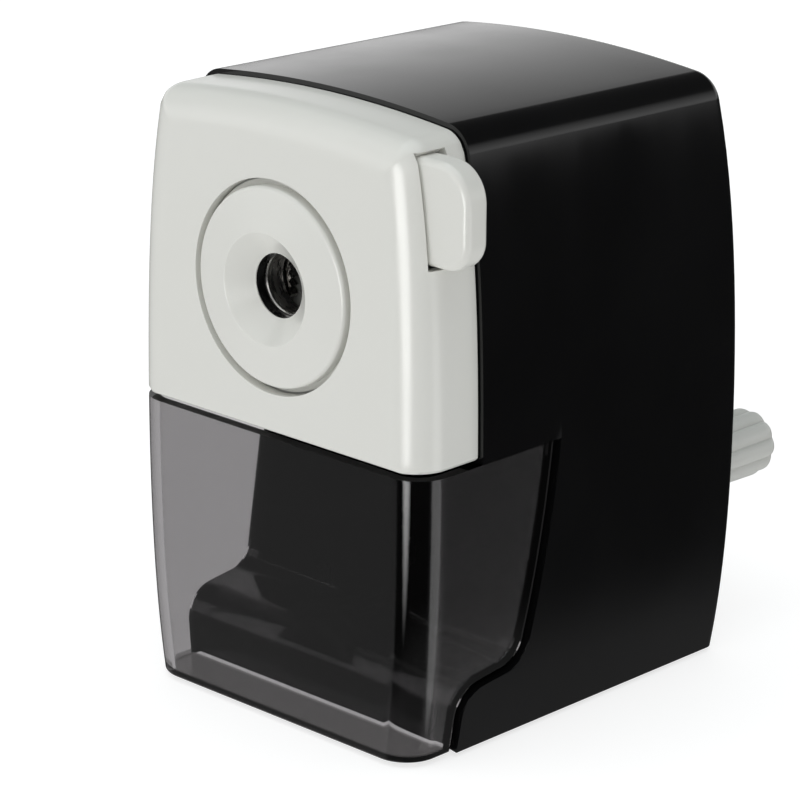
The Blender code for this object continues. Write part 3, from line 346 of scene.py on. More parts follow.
class Look:
    """A Principled material with a few nodes that vary it over the surface."""

    def __init__(self, name, colour, roughness, **sockets):
        self.material = bpy.data.materials.new(name)
        self.material.use_nodes = True
        self.tree = self.material.node_tree
        self.shader = self.tree.nodes["Principled BSDF"]
        self.place = self.node("ShaderNodeTexCoord").outputs["Object"]
        self.colour = colour
        self.shader.inputs["Base Color"].default_value = (*colour, 1.0)
        self.shader.inputs["Roughness"].default_value = roughness
        self.roughness = roughness
        for key, value in sockets.items():
            self.shader.inputs[key.replace("_", " ")].default_value = value

    def node(self, kind, **values):
        made = self.tree.nodes.new(kind)
        for key, value in values.items():
            setattr(made, key, value)
        return made

    def link(self, output, target):
        self.tree.links.new(output, target)

    def noise(self, scale, detail, stretch):
        mapping = self.node("ShaderNodeMapping")
        mapping.inputs["Scale"].default_value = stretch
        self.link(self.place, mapping.inputs["Vector"])
        noise = self.node("ShaderNodeTexNoise")
        noise.inputs["Scale"].default_value = scale
        noise.inputs["Detail"].default_value = detail
        self.link(mapping.outputs["Vector"], noise.inputs["Vector"])
        return noise.outputs["Fac"]

    def ranged(self, value, low_value, high_value, start=0.3, end=0.7):
        made = self.node("ShaderNodeMapRange")
        made.inputs["From Min"].default_value = start
        made.inputs["From Max"].default_value = end
        made.inputs["To Min"].default_value = low_value
        made.inputs["To Max"].default_value = high_value
        self.link(value, made.inputs["Value"])
        return made.outputs["Result"]

    def vary_roughness(self, amount, scale, stretch=(1, 1, 1)):
        noise = self.noise(scale, 4.0, stretch)
        spread = self.ranged(noise, self.roughness - amount, self.roughness + amount)
        self.link(spread, self.shader.inputs["Roughness"])

    def mix_colours(self, share, first, second):
        mix = self.node("ShaderNodeMix", data_type="RGBA")
        mix.inputs["A"].default_value = (*first, 1.0)
        mix.inputs["B"].default_value = (*second, 1.0)
        self.link(share, mix.inputs["Factor"])
        self.link(mix.outputs["Result"], self.shader.inputs["Base Color"])

    def vary_colour(self, other, scale, start=0.35, end=0.75):
        share = self.ranged(self.noise(scale, 4.0, (1, 1, 1)), 0.0, 1.0, start, end)
        self.mix_colours(share, self.colour, other)

    def bump(self, strength, distance_mm, scale, stretch=(1, 1, 1)):
        made = self.node("ShaderNodeBump")
        made.inputs["Strength"].default_value = strength
        made.inputs["Distance"].default_value = distance_mm * MM
        self.link(self.noise(scale, 2.0, stretch), made.inputs["Height"])
        self.link(made.outputs["Normal"], self.shader.inputs["Normal"])


def white_plastic():
    """Polished off-white styrene with a faint flow mark and slightly uneven gloss."""
    look = Look("white_plastic", (0.730, 0.730, 0.694), 0.23)
    look.vary_colour((0.720, 0.719, 0.680), 30.0, 0.3, 0.7)
    look.vary_roughness(0.03, 90.0)
    look.bump(0.10, 0.05, 260.0)
    return look.material


def black_plastic():
    """Deep glossy black with faint handling marks."""
    look = Look("black_plastic", (0.0025, 0.0025, 0.0027), 0.13, IOR=1.49)
    look.vary_colour((0.0040, 0.0040, 0.0042), 40.0)
    look.vary_roughness(0.04, 70.0, stretch=(1, 1, 0.4))
    look.bump(0.06, 0.05, 180.0)
    return look.material


def grey_plastic():
    look = Look("grey_plastic", (0.62, 0.625, 0.597), 0.42)
    look.vary_colour((0.59, 0.595, 0.567), 60.0)
    look.vary_roughness(0.06, 160.0)
    look.bump(0.25, 0.03, 1400.0)
    return look.material


def paint_shade_on_drawer_floor(look, dark):
    """Paints shade into the drawer's floor, behind its front wall: a darker colour than the rest, standing for the
    shadow beneath the drawer.
    """
    floor_top = (DRAWER_BOTTOM_Z + DRAWER_THIN_WALL) * MM
    place = look.node("ShaderNodeSeparateXYZ")
    look.link(look.place, place.inputs["Vector"])
    above = look.ranged(place.outputs["Z"], 0.0, 1.0, floor_top + 0.1 * MM, floor_top + 0.4 * MM)
    in_front = look.ranged(place.outputs["Y"], 1.0, 0.0, 1.6 * MM, 2.0 * MM)
    outside_painted_shade = look.node("ShaderNodeMath", operation="MAXIMUM")
    look.link(above, outside_painted_shade.inputs[0])
    look.link(in_front, outside_painted_shade.inputs[1])
    # painted shade: below the floor's top and behind the front wall the colour turns dark
    look.mix_colours(outside_painted_shade.outputs["Value"], dark, look.colour)


def smoke_plastic():
    """Clear styrene with a smoke tint that deepens with the way through it, and painted shade on its floor."""
    look = Look("smoke_plastic", (0.77, 0.765, 0.77), 0.03, IOR=1.49, Transmission_Weight=1.0)
    look.vary_roughness(0.012, 120.0)
    look.bump(0.03, 0.04, 200.0)
    # painted shade: the drawer's floor is coloured dark to stand for the shadow under the drawer
    paint_shade_on_drawer_floor(look, (0.20, 0.195, 0.195))
    tint = look.node("ShaderNodeVolumeAbsorption")
    tint.inputs["Color"].default_value = (0.03, 0.0, 0.015, 1.0)
    tint.inputs["Density"].default_value = 175.0
    look.link(tint.outputs["Volume"], look.tree.nodes["Material Output"].inputs["Volume"])
    return look.material


def frame_plastic():
    look = Look("frame_plastic", (0.012, 0.012, 0.013), 0.5)
    look.vary_colour((0.020, 0.020, 0.021), 50.0)
    look.vary_roughness(0.08, 120.0)
    look.bump(0.3, 0.04, 1500.0)
    return look.material


def gear_plastic():
    look = Look("gear_plastic", (0.74, 0.71, 0.62), 0.45)
    look.vary_colour((0.66, 0.62, 0.52), 80.0)
    look.vary_roughness(0.06, 160.0)
    look.bump(0.2, 0.03, 900.0)
    return look.material


def steel():
    """Drawn steel with fine streaks."""
    look = Look("steel", (0.56, 0.55, 0.53), 0.28, Metallic=1.0)
    look.vary_colour((0.42, 0.41, 0.39), 120.0)
    look.vary_roughness(0.10, 240.0, stretch=(1, 6, 1))
    look.bump(0.15, 0.02, 900.0, stretch=(1, 8, 1))
    return look.material


def cast_zinc():
    look = Look("cast_zinc", (0.34, 0.34, 0.35), 0.48, Metallic=1.0)
    look.vary_colour((0.25, 0.25, 0.26), 150.0)
    look.vary_roughness(0.10, 200.0)
    look.bump(0.5, 0.05, 1100.0)
    return look.material


def rubber():
    look = Look("foot_rubber", (0.018, 0.018, 0.018), 0.85)
    look.vary_colour((0.030, 0.029, 0.028), 90.0)
    look.vary_roughness(0.06, 200.0)
    look.bump(0.4, 0.05, 1600.0)
    return look.material


LOOKS = {
    "white_plastic": white_plastic(),
    "black_plastic": black_plastic(),
    "grey_plastic": grey_plastic(),
    "smoke_plastic": smoke_plastic(),
    "frame_plastic": frame_plastic(),
    "gear_plastic": gear_plastic(),
    "steel": steel(),
    "cast_zinc": cast_zinc(),
    "foot_rubber": rubber(),
}


# ---------------------------------------------------------------- case surface

def half_width(z, inset=0.0):
    """Half the width of the casing at a height: the sides bow outwards like a barrel."""
    t = (z - WAIST_Z) / HALF_HEIGHT
    return MAX_HALF_WIDTH - SIDE_BOW * t**2 - SIDE_BOW_TOP * t**4 - inset


def side_lean(z):
    step = 0.01
    return math.atan((half_width(z) - half_width(z + step)) / step)


def crown(x, top, inset):
    return top - inset - CROWN_BOW * (x / MAX_HALF_WIDTH) ** 2


def front_bow(z):
    """How far the front falls back at a height: it is foremost just under the middle."""
    return FRONT_BOW * (z - FRONT_BOW_Z) ** 2


def rear_bow(z):
    """How far the rear falls forward at a height."""
    return REAR_BOW * ((z - REAR_BOW_Z) / (WAIST_Z + HALF_HEIGHT - REAR_BOW_Z)) ** 2


class Section:
    """Right half of the casing's outline at one depth: side, rounded corner and crown."""

    def __init__(self, top, inset):
        """Finds by repetition where the corner's circle touches the side and the crown."""
        self.top = top
        self.inset = inset
        self.radius = TOP_EDGE_RADIUS - min(inset, TOP_EDGE_RADIUS - 1.0)
        self.side_z = top - TOP_EDGE_RADIUS
        self.crown_x = MAX_HALF_WIDTH - 2 * TOP_EDGE_RADIUS
        for _ in range(40):
            lean = side_lean(self.side_z)
            fall = math.atan(2 * CROWN_BOW * self.crown_x / MAX_HALF_WIDTH**2)
            self.centre = (
                half_width(self.side_z, inset) - self.radius * math.cos(lean),
                crown(self.crown_x, top, inset) - self.radius * math.cos(fall),
            )
            self.side_z = self.centre[1] + self.radius * math.sin(lean)
            self.crown_x = self.centre[0] + self.radius * math.sin(fall)
        self.start = math.degrees(lean)
        self.end = 90 - math.degrees(fall)

    def x_at(self, z):
        if z <= self.side_z:
            return half_width(z, self.inset)
        rise = min((z - self.centre[1]) / self.radius, 1.0)
        return self.centre[0] + self.radius * math.sqrt(1 - rise**2)

    def angle_at(self, z):
        return math.degrees(math.asin((z - self.centre[1]) / self.radius))

    def height_at(self, angle):
        return self.centre[1] + self.radius * math.sin(math.radians(angle))

    def corner(self, start, count):
        return arc(self.centre, self.radius, start, self.end, count)

    def crown_line(self, count):
        return [(x, crown(x, self.top, self.inset)) for x in span(self.crown_x, 0.0, count)]


def wing_edge(gap, bottom, top):
    """The S-shaped line (y, z) where the drawer's sides end, moved back by a gap."""
    low_centre, low_radius = (15.3, 5.4), 5.6 - gap
    high_centre, high_radius = (19.0, 16.5), 5.0 + gap
    top_y, slope, curve = 29.2, 0.125, 0.00165
    steps = 24
    line = [(low_centre[0] - low_radius - 0.3, bottom)]
    line += arc(low_centre, low_radius, 180, 95, steps)
    line += arc(high_centre, high_radius, -86, -12.6, steps)
    for z in span(line[-1][1], top, steps)[1:]:
        below = DRAWER_TOP_Z - z
        line.append((top_y - slope * below - curve * below**2 + gap, z))
    return line


# ---------------------------------------------------------------- outer shell

def make_outer_shell():
    """A grid of quads: below the division line its rows start on the S-shaped edge."""
    rows_low = 40
    edge = resample(wing_edge(WING_GAP, 0.0, SHELL_CUT_Z), rows_low)
    levels = span(0.0, SHELL_CUT_Z, rows_low)
    split_y = edge[-1][0]
    plain_y = 38.0
    depths = span(SEAM_Y, split_y, 8)
    split = len(depths) - 1
    depths += span(split_y, plain_y, 6)[1:]
    plain = len(depths) - 1
    depths += [46.0, 54.0, 62.0]
    stations = [(y, 0.0) for y in depths]
    for angle in span(0, 90, 8):
        back = REAR_EDGE_RADIUS * math.sin(math.radians(angle))
        inset = REAR_EDGE_RADIUS * (1 - math.cos(math.radians(angle)))
        stations.append((BODY_DEPTH - REAR_EDGE_RADIUS + back, inset))

    columns = []
    for y, inset in stations:
        share = (y - SEAM_Y) / (BODY_DEPTH - SEAM_Y)
        section = Section(FRONT_TOP_Z - REAR_TOP_DROP * share, inset)
        outline = [(section.x_at(z), z) for z in levels]
        outline += [(section.x_at(z), z) for z in span(SHELL_CUT_Z, section.side_z, 12)[1:]]
        outline += section.corner(section.start, 12)[1:]
        outline += section.crown_line(12)[1:]
        columns.append([(x, y - share * rear_bow(z), z) for x, z in outline])

    # Below the division line the columns spread evenly from the S-shaped edge to the plain ones.
    for row in range(rows_low - 1):
        end = columns[plain][row]
        for column in range(split, plain):
            share = (column - split) / (plain - split)
            y = edge[row][0] + (end[1] - edge[row][0]) * share
            z = edge[row][1] + (end[2] - edge[row][1]) * share
            columns[column][row] = (half_width(z), y, z)

    skin = Skin()
    rows = len(columns[0])
    for column in range(len(columns) - 1):
        start_row = 0 if column >= split else rows_low - 1
        for row in range(start_row, rows - 1):
            skin.both_sides(
                columns[column][row],
                columns[column + 1][row],
                columns[column + 1][row + 1],
                columns[column][row + 1],
            )
    last = columns[-1]
    for first, second in zip(last, last[1:]):
        skin.both_sides(first, (0, first[1], first[2]), (0, second[1], second[2]), second)
    shell = skin.piece("case_shell", inside=(0, 40, 50))
    thicken(shell)

    cut(shell, rod("bush_hole", 6.9, (0, 64.0, AXIS_Z), (0, 90.0, AXIS_Z), 64))
    for name in ("upper_left", "upper_right", "lower_left", "lower_right"):
        x, _, z = (low("frame_screw_" + name) + high("frame_screw_" + name)) / 2
        cut(shell, rod("hole", SCREW_BORE, (x, 64.0, z), (x, 80.0, z), 24))
    bevel(shell, 0.25, 3, 55.0)
    dress(shell, "housing", "black_plastic", "outer_shell")


# ---------------------------------------------------------------- front plate

def make_front_plate():
    """A cap with the dial's window and the lever's slot left open in its grid of quads."""
    lower_edge = 0.5
    # Points along each ring: to the corner below, up to the slot, and beside the slot
    window_side, slot_low, slot_high = 16, 24, 14
    base = PLATE_BOTTOM_Z + lower_edge

    def angle_for(y):
        return math.degrees(math.asin(1 - y / FRONT_EDGE_RADIUS))

    stations = []
    slot_angle = angle_for(SLOT_Y[0])
    before_slot = span(90, slot_angle, 12)
    slot_start = len(before_slot) - 1
    for angle in before_slot + span(slot_angle, 0, 7)[1:]:
        y = FRONT_EDGE_RADIUS * (1 - math.sin(math.radians(angle)))
        stations.append((y, FRONT_EDGE_RADIUS * (1 - math.cos(math.radians(angle)))))
    stations += [(7.0, 0.0), (SLOT_Y[1], 0.0)]
    slot_end = len(stations) - 1
    stations += [(10.5, 0.0), (SEAM_Y - SEAM_GAP, 0.0)]

    reference = Section(FRONT_TOP_Z, PLATE_LIP + stations[slot_start][1])
    top_angle = reference.angle_at(SLOT_Z[1])
    rings = []
    for y, inset in stations:
        section = Section(FRONT_TOP_Z, PLATE_LIP + inset)
        if y < SLOT_Y[0] - 0.01:
            angle = top_angle
            top_level = section.height_at(angle)
        else:
            top_level = SLOT_Z[1]
            angle = section.angle_at(top_level)
        stretch = (top_level - base) / (SLOT_Z[1] - base)
        lift = 0.0
        if y < lower_edge:
            lift = lower_edge - math.sqrt(lower_edge**2 - (lower_edge - y) ** 2)
        floor_z = PLATE_BOTTOM_Z + lift
        half = section.x_at(base)
        ring = [(x, floor_z) for x in span(0.0, half - lower_edge, window_side)]
        levels = span(base, SLOT_Z[0], slot_low) + span(SLOT_Z[0], SLOT_Z[1], slot_high)[1:]
        for z in levels:
            level = base + (z - base) * stretch
            ring.append((section.x_at(level), level))
        ring += section.corner(angle, 9)[1:]
        ring += section.crown_line(10)[1:]
        fade = max(0.0, 1 - y / SLOT_Y[0])
        rings.append([(x, y + front_bow(z) * fade, z) for x, z in ring])

    slot_rows = range(window_side + slot_low - 1, window_side + slot_low + slot_high - 2)
    skin = Skin()
    for place, (first, second) in enumerate(zip(rings, rings[1:])):
        open_here = slot_start <= place < slot_end
        for row in range(len(first) - 1):
            corners = (first[row], first[row + 1], second[row + 1], second[row])
            if open_here and row in slot_rows:
                skin.face(*[(-x, y, z) for x, y, z in corners])
            else:
                skin.both_sides(*corners)

    # The face runs from the first ring in to the window's circle.
    def towards_window(point, share):
        angle = math.atan2(point[2] - AXIS_Z, point[0])
        rim = (WINDOW_RADIUS * math.cos(angle), AXIS_Z + WINDOW_RADIUS * math.sin(angle))
        x, z = blend((point[0], point[2]), rim, share)
        return x, front_bow(z), z

    shares = [0.0, 0.3, 0.6, 0.85, 1.0]
    for share, following in zip(shares, shares[1:]):
        for first, second in zip(rings[0], rings[0][1:]):
            skin.both_sides(
                towards_window(first, share),
                towards_window(second, share),
                towards_window(second, following),
                towards_window(first, following),
            )
    plate = skin.piece("front_cover", inside=(0, 9, 70))
    thicken(plate)
    bevel(plate, 0.3, 3, 55.0)
    dress(plate, "carriage", "white_plastic", "front_plate")


# ---------------------------------------------------------------- dial and sleeve

def make_dial():
    """The round insert: a slightly coned face with a soft rim, and a thin lip round the hole."""
    mouth_edge, rim_edge = 0.35, 0.6
    rim_radius = DIAL_RADIUS - 0.15
    mouth = arc((FUNNEL_RADIUS + mouth_edge, FUNNEL_RIM_Y + mouth_edge), mouth_edge, -128, -90, 6)
    rim = arc((rim_radius - rim_edge, FUNNEL_RIM_Y + 1.8), rim_edge, -80, 0, 12)
    groove = [(rim_radius, 2.0), (16.35, 2.0), (16.35, 2.9)]
    flange = [(18.0, 2.9), (18.0, 3.6), (7.4, 3.6)]
    sleeve_seat = [(7.4, 7.1), (6.3, 7.1), (6.3, 2.0)]
    lip = [(HOLE_RADIUS, 1.9), (HOLE_RADIUS, HOLE_Y + 0.1), (HOLE_RADIUS + 0.15, HOLE_Y)]
    profile = mouth + rim + groove + flange + sleeve_seat + lip
    dial = turned("front_dial", profile, (0, 0, AXIS_Z), 160)
    dress(dial, "carriage", "white_plastic", "guide_dial", sharp=30)


def make_sleeve():
    """The steel sleeve, and a black ring that lines the hole between the dial's lip and the sleeve."""
    profile = [(6.0, 7.2), (6.0, 3.7), (5.3, 3.6), (4.75, 3.62), (4.6, 3.8), (4.6, 7.0), (4.8, 7.2)]
    sleeve = turned("steel_sleeve", profile, (0, 0, AXIS_Z))
    dress(sleeve, "carriage", "steel", "guide_sleeve")
    profile = [(6.2, 2.1), (6.2, 3.55), (5.1, 3.55), (4.95, 3.4), (4.95, 2.1)]
    collar = turned("hole_collar", profile, (0, 0, AXIS_Z))
    dress(collar, "carriage", "black_plastic")


# ---------------------------------------------------------------- lever

def make_lever():
    """A D-shaped paddle with soft edges, joined to the flat slider inside."""
    root, tip = 24.0, high("release_lever").x
    bottom, top = 78.0, 94.0
    upper, lower = 6.0, 4.5
    outline = [(root, bottom), (root, top)]
    outline += arc((tip - upper, top - upper), upper, 90, 0, 20)
    outline += arc((tip - lower, bottom + lower), lower, 0, -90, 16)
    lever = prism("side_lever", outline, 3.8, 8.5)
    bevel(lever, 1.15, 5, 60.0)
    slider = [
        (-14.0, 61.5),
        (13.0, 61.5),
        (13.0, 80.0),
        (25.5, 80.0),
        (25.5, 90.0),
        (6.0, 90.0),
        (6.0, 77.7),
        (-14.0, 77.7),
    ]
    join(
        lever,
        prism("slider", slider, 7.5, 9.3),
        box("lug", (-14.0, -12.2), (4.0, 9.3), (AXIS_Z - 3.0, AXIS_Z + 3.0)),
    )
    cut(lever, box("window", (-7.3, 11.3), (6.0, 11.0), (64.2, 75.0)))
    dress(lever, "lever", "white_plastic", "release_lever")


# ---------------------------------------------------------------- drawer

def make_drawer():
    """Front and wings a lip inside the casing's surface, with a narrower open box behind them."""
    wings_back = 40.0

    def plan(z, inset):
        radius = FRONT_EDGE_RADIUS - inset
        x = half_width(z, inset + PLATE_LIP)
        front = inset + front_bow(z)
        corner = arc((0, 0), radius, 0, 90, 14)
        right = [(x, wings_back)] + [(x - radius + a, front + radius - b) for a, b in corner]
        return [(-a, b, z) for a, b in right] + [(a, b, z) for a, b in reversed(right)]

    def volume(name, inset, bottom, top, rounding=0.0):
        rings = [plan(z, inset) for z in span(bottom + rounding, top, 28)]
        for angle in span(15, 90, 6) if rounding else ():
            drop = rounding * math.sin(math.radians(angle))
            inward = rounding * (1 - math.cos(math.radians(angle)))
            rings.insert(0, plan(bottom + rounding - drop, inset + inward))
        return loft(name, rings)

    def trim_behind(obj, gap, top):
        """Cuts away what lies behind the wings' S-shaped edge."""
        behind = wing_edge(gap, -2.0, top) + [(50.0, top), (50.0, -2.0)]
        cut(obj, prism("behind_wings", behind, -40.0, 40.0, axis="X"))

    half, rear, floor_z, top = 27.6, 64.0, 12.0, 43.0
    drawer = volume("smoke_drawer", 0.0, DRAWER_BOTTOM_Z, DRAWER_TOP_Z, rounding=0.5)
    trim_behind(drawer, 0.0, DRAWER_TOP_Z + 2.0)
    join(drawer, box("inner_box", (-half, half), (20.0, rear), (floor_z, top)))

    # The front's floor and the wings' ends are thinner, so that light gets through them.
    hollow = volume("front_hollow", DRAWER_WALL, DRAWER_BOTTOM_Z + DRAWER_THIN_WALL, 60.0)
    trim_behind(hollow, -DRAWER_THIN_WALL, 62.0)
    inner = half - DRAWER_WALL
    inner_floor_z = floor_z + DRAWER_WALL
    room = box("box_room", (-inner, inner), (18.0, rear - DRAWER_WALL), (inner_floor_z, 60.0))
    cut(drawer, hollow, room)

    arch, arch_z = 8.9, 5.5
    spring_line = math.degrees(math.asin((floor_z - arch_z) / (arch + DRAWER_WALL)))
    hump = arc((0, arch_z), arch + DRAWER_WALL, 180 - spring_line, spring_line, 41)
    join(drawer, prism("tunnel_hump", hump, 12.0, rear - 0.4))
    groove = [(-arch, -2.0)] + arc((0, arch_z), arch, 180, 0, 49) + [(arch, -2.0)]
    cut(drawer, prism("tunnel_groove", groove, 9.9, rear + 4.0))
    dress(drawer, "drawer", "smoke_plastic", "shavings_drawer")


# ---------------------------------------------------------------- crank

def make_crank_arm():
    """A flat arm with round ends and a boss that faces the casing."""
    front, back = 75.4, 80.4
    way = math.degrees(math.atan2(KNOB.z - AXIS_Z, KNOB.x))
    outline = arc((0, AXIS_Z), 7.5, way + 90, way + 270, 40)
    outline += arc((KNOB.x, KNOB.z), 6.0, way - 90, way + 90, 34)
    arm = prism("crank_lever", outline, front, back)
    bevel(arm, 0.9, 4, 60.0)

    def bar(name, radius, start_y, end_y, steps, x=0.0, z=AXIS_Z):
        return rod(name, radius, (x, start_y, z), (x, end_y, z), steps)

    join(arm, bar("boss", 6.2, front - 2.5, front + 0.9, 64))
    cut(
        arm,
        bar("shaft_hole", 3.3, 72.0, 80.0, 48),
        bar("screw_hole", SCREW_BORE, 72.0, 84.0, 32),
        bar("pin_hole", PIN_BORE, 72.0, 84.0, 32, KNOB.x, KNOB.z),
    )
    dress(arm, "crank", "grey_plastic", "crank_arm")


def make_knob():
    """Scalloped grip with a domed end, bored for its pin."""
    lobes, radius, depth, dome = 10, 5.8, 0.75, 2.6
    steps = lobes * 14
    start = KNOB.y
    shoulder = high("crank_knob").y - start - dome
    stations = [(0.0, 0.84), (0.3, 0.90), (0.9, 0.94), (shoulder, 1.0)]
    for angle in span(0.2, math.pi / 2, 8):
        stations.append((shoulder + dome * math.sin(angle), 0.62 + 0.38 * math.cos(angle)))
    rings = []
    for height, scale in stations:
        ring = []
        for i in range(steps):
            angle = 2 * math.pi * i / steps
            dip = depth * (1 - abs(math.cos(lobes * angle / 2)) ** 0.8) * min(1.0, scale**4)
            x, z = ((radius - dip) * scale * part for part in (math.cos(angle), math.sin(angle)))
            ring.append((KNOB.x + x, start + height, KNOB.z + z))
        rings.append(ring)
    knob = loft("grip_knob", rings)
    bore = rod("bore", PIN_BORE, (KNOB.x, start - 2.0, KNOB.z), (KNOB.x, start + 15.2, KNOB.z), 32)
    cut(knob, bore)
    dress(knob, "knob", "grey_plastic", "crank_knob", sharp=50)


# ---------------------------------------------------------------- springs

def coil(name, start, end, radius, wire, turns):
    """A wire wound between two points, as a mesh tube."""
    way = end - start
    basis = way.to_track_quat("Z", "X").to_matrix()
    sides, steps = 8, 24
    rings = []
    for i in range(turns * steps + 1):
        angle = 2 * math.pi * i / steps
        along = wire + (way.length - 2 * wire) * i / (turns * steps)
        outward = Vector((math.cos(angle), math.sin(angle), 0))
        ring = []
        for j in range(sides):
            turn = 2 * math.pi * j / sides
            rise = Vector((0, 0, along + wire * math.sin(turn)))
            ring.append(tuple(start + basis @ (outward * (radius + wire * math.cos(turn)) + rise)))
        rings.append(ring)
    return loft(name, rings)


def make_spring(name, node, start, axis, body, slide, **wound):
    """A coil as long as its CAD node, wound from its start along the axis."""
    length = (high(node) - low(node)).dot(Vector(axis))
    spring = coil(name, start, start + Vector(axis) * length, **wound)
    dress(spring, body, "steel", node, sharp=60)
    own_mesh(spring)


def make_springs():
    """One spring round each guide rod, and one that pushes the lever out."""
    rod_z = 56.0
    wound = {"radius": 3.0, "wire": 0.3, "turns": 12}
    for side in ("left", "right"):
        name, node = "return_coil_" + side, "rod_spring_" + side
        start = Vector(((low(node).x + high(node).x) / 2, low(node).y, rod_z))
        make_spring(name, node, start, (0, 1, 0), "housing", "carriage_slide", **wound)
    node = "lever_spring"
    wound = {"radius": 1.9, "wire": 0.25, "turns": 6}
    start = Vector((low(node).x, (low(node).y + high(node).y) / 2, AXIS_Z))
    make_spring("lever_coil", node, start, (1, 0, 0), "carriage", "lever_slide", **wound)


# ---------------------------------------------------------------- carried-over nodes

def dress_cad_nodes():
    """Gives every CAD node the look of its material slot; the replaced ones are hidden later."""
    for row in frame["record"]["subparts"]:
        node = frame["nodes"][row["node"]]
        node.data.materials.clear()
        node.data.materials.append(LOOKS[row["material_slot"]])


# ---------------------------------------------------------------- stage, lights and camera

def make_floor():
    """A pale floor that glows a little, so that it stays nearly white under the soft light.

    Mirrored and see-through rays pass it and meet the surroundings, which hold their own levels.
    """
    look = Look("pale_floor", (0.42, 0.42, 0.42), 0.7, Specular_IOR_Level=0.1)
    look.vary_colour((0.41, 0.41, 0.41), 3.0)
    look.shader.inputs["Emission Color"].default_value = (1.0, 1.0, 1.0, 1.0)
    look.shader.inputs["Emission Strength"].default_value = 0.74
    look.bump(0.05, 0.1, 400.0)
    shape = bmesh.new()
    bmesh.ops.create_grid(shape, x_segments=1, y_segments=1, size=4.0)
    mesh = bpy.data.meshes.new("floor")
    shape.to_mesh(mesh)
    shape.free()
    mesh.materials.append(look.material)
    floor = bpy.data.objects.new("floor", mesh)
    floor.visible_glossy = False
    floor.visible_transmission = False
    STAGE.objects.link(floor)


def direction(azimuth, elevation):
    """Azimuth 0 is in front of the object and 90 on its right, in degrees."""
    a, e = math.radians(azimuth), math.radians(elevation)
    return Vector((math.sin(a) * math.cos(e), -math.cos(a) * math.cos(e), math.sin(e)))


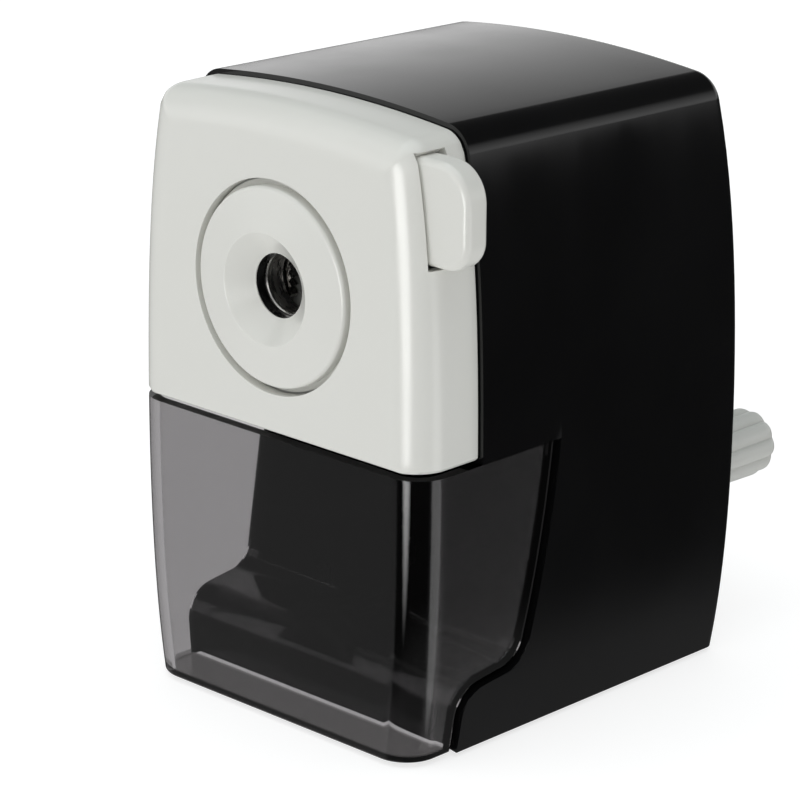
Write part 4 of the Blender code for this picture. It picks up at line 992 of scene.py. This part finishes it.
class World:
    """Studio surroundings: even for diffuse light, with a backdrop and soft cards to mirror."""

    def __init__(self):
        world = bpy.data.worlds.new("studio")
        world.use_nodes = True
        bpy.context.scene.world = world
        self.tree = world.node_tree
        self.place = self.tree.nodes.new("ShaderNodeTexCoord").outputs["Generated"]
        path = self.tree.nodes.new("ShaderNodeLightPath")
        ambient = 0.30
        strength = self.choose(path.outputs["Is Glossy Ray"], ambient, self.mirrored())
        strength = self.choose(path.outputs["Is Transmission Ray"], strength, self.seen_through())
        self.feed(self.tree.nodes["Background"].inputs["Strength"], strength)
        self.tree.nodes["Background"].inputs["Color"].default_value = (1.0, 1.0, 1.0, 1.0)

    def mirrored(self):
        """A level for each height, bright at the horizon, with soft cards round some directions."""
        stops = ((0.0, 0.03), (0.01, 1.1), (0.1, 1.06), (0.33, 0.47), (0.42, 0.06), (1.0, 0.03))
        height = self.tree.nodes.new("ShaderNodeSeparateXYZ")
        self.feed(height.inputs["Vector"], self.place)
        ramp = self.tree.nodes.new("ShaderNodeValToRGB")
        self.feed(ramp.inputs["Fac"], height.outputs["Z"])
        elements = ramp.color_ramp.elements
        for position, _ in stops[1:-1]:
            elements.new(position)
        for element, (position, level) in zip(elements, stops):
            element.position = position
            element.color = (level, level, level, 1.0)
        return self.total(
            ramp.outputs["Color"],
            self.glow(azimuth=8, elevation=-7, core=10, fade=19, strength=8.0),
            self.glow(azimuth=-62, elevation=-24, core=28, fade=42, strength=0.26),
            self.glow(azimuth=99, elevation=-21, core=10, fade=17, strength=1.6),
            self.glow(azimuth=0, elevation=-90, core=60, fade=66, strength=0.14),
        )

    def seen_through(self):
        """What the smoke plastic lets through: dark but for two wide glows behind the object."""
        darkest = 0.04
        return self.total(
            darkest,
            self.glow(azimuth=-136, elevation=-30, core=55, fade=80, strength=0.90),
            self.glow(azimuth=130, elevation=-20, core=25, fade=45, strength=0.8),
        )

    def total(self, first, *others):
        for other in others:
            made = self.tree.nodes.new("ShaderNodeMath")
            self.feed(made.inputs[0], first)
            self.feed(made.inputs[1], other)
            first = made.outputs["Value"]
        return first

    def choose(self, share, first, second):
        """The first value where share is 0 and the second where it is 1."""
        made = self.tree.nodes.new("ShaderNodeMix")
        self.feed(made.inputs["Factor"], share)
        self.feed(made.inputs["A"], first)
        self.feed(made.inputs["B"], second)
        return made.outputs["Result"]

    def feed(self, socket, value):
        if isinstance(value, (int, float)):
            socket.default_value = value
        else:
            self.tree.links.new(value, socket)

    def glow(self, azimuth, elevation, core, fade, strength):
        """A soft patch of light round one direction; core and fade are angles in degrees."""
        dot = self.tree.nodes.new("ShaderNodeVectorMath")
        dot.operation = "DOT_PRODUCT"
        self.feed(dot.inputs[0], self.place)
        dot.inputs[1].default_value = direction(azimuth, elevation)
        patch = self.tree.nodes.new("ShaderNodeMapRange")
        patch.interpolation_type = "SMOOTHSTEP"
        patch.inputs["From Min"].default_value = math.cos(math.radians(fade))
        patch.inputs["From Max"].default_value = math.cos(math.radians(core))
        patch.inputs["To Max"].default_value = strength
        self.feed(patch.inputs["Value"], dot.outputs["Value"])
        return patch.outputs["Result"]


def softbox(name, azimuth, elevation, distance, size, watts, colour=(1, 1, 1)):
    way = direction(azimuth, elevation)
    light = bpy.data.lights.new(name, "AREA")
    light.shape = "RECTANGLE"
    light.size, light.size_y = size
    light.energy = watts
    light.color = colour
    obj = bpy.data.objects.new(name, light)
    obj.location = LIGHT_TARGET + way * distance
    obj.rotation_euler = way.to_track_quat("Z", "Y").to_euler()
    STAGE.objects.link(obj)
    return obj


def make_lights():
    softbox("front_left_key", -22, 34, 2.5, (2.6, 2.0), 16.0)
    softbox("right_fill", 40, 24, 2.6, (1.6, 1.6), 5.2)
    softbox("overhead", 0, 88, 2.5, (3.0, 3.0), 37.0, (0.93, 0.99, 1.0))


def make_camera():
    """Long lens, a little above, turned towards the front right corner."""
    azimuth, elevation, roll = 43.88, 18.395, math.radians(-0.374)
    target, distance = Vector((-6.325, 36.0, 42.057)), 586.2
    back = direction(azimuth, elevation)
    right = direction(azimuth + 90, 0)
    up = back.cross(right)
    turned_right = right * math.cos(roll) - up * math.sin(roll)
    turned_up = right * math.sin(roll) + up * math.cos(roll)
    place = (CASE_ORIGIN + target + back * distance) * MM
    axes = Matrix((turned_right, turned_up, back)).transposed().to_4x4()
    camera = bpy.data.cameras.new("camera")
    camera.sensor_width = 36.0
    camera.lens = 165.44
    camera.shift_x = -0.0081
    camera.clip_start = 0.01
    obj = bpy.data.objects.new("camera", camera)
    obj.matrix_world = Matrix.Translation(place) @ axes
    STAGE.objects.link(obj)
    bpy.context.scene.camera = obj
    bpy.context.scene.view_settings.view_transform = "Standard"


make_camera()
World()
make_lights()
make_floor()

dress_cad_nodes()
make_outer_shell()
make_front_plate()
make_dial()
make_sleeve()
make_lever()
make_drawer()
make_crank_arm()
make_knob()
make_springs()
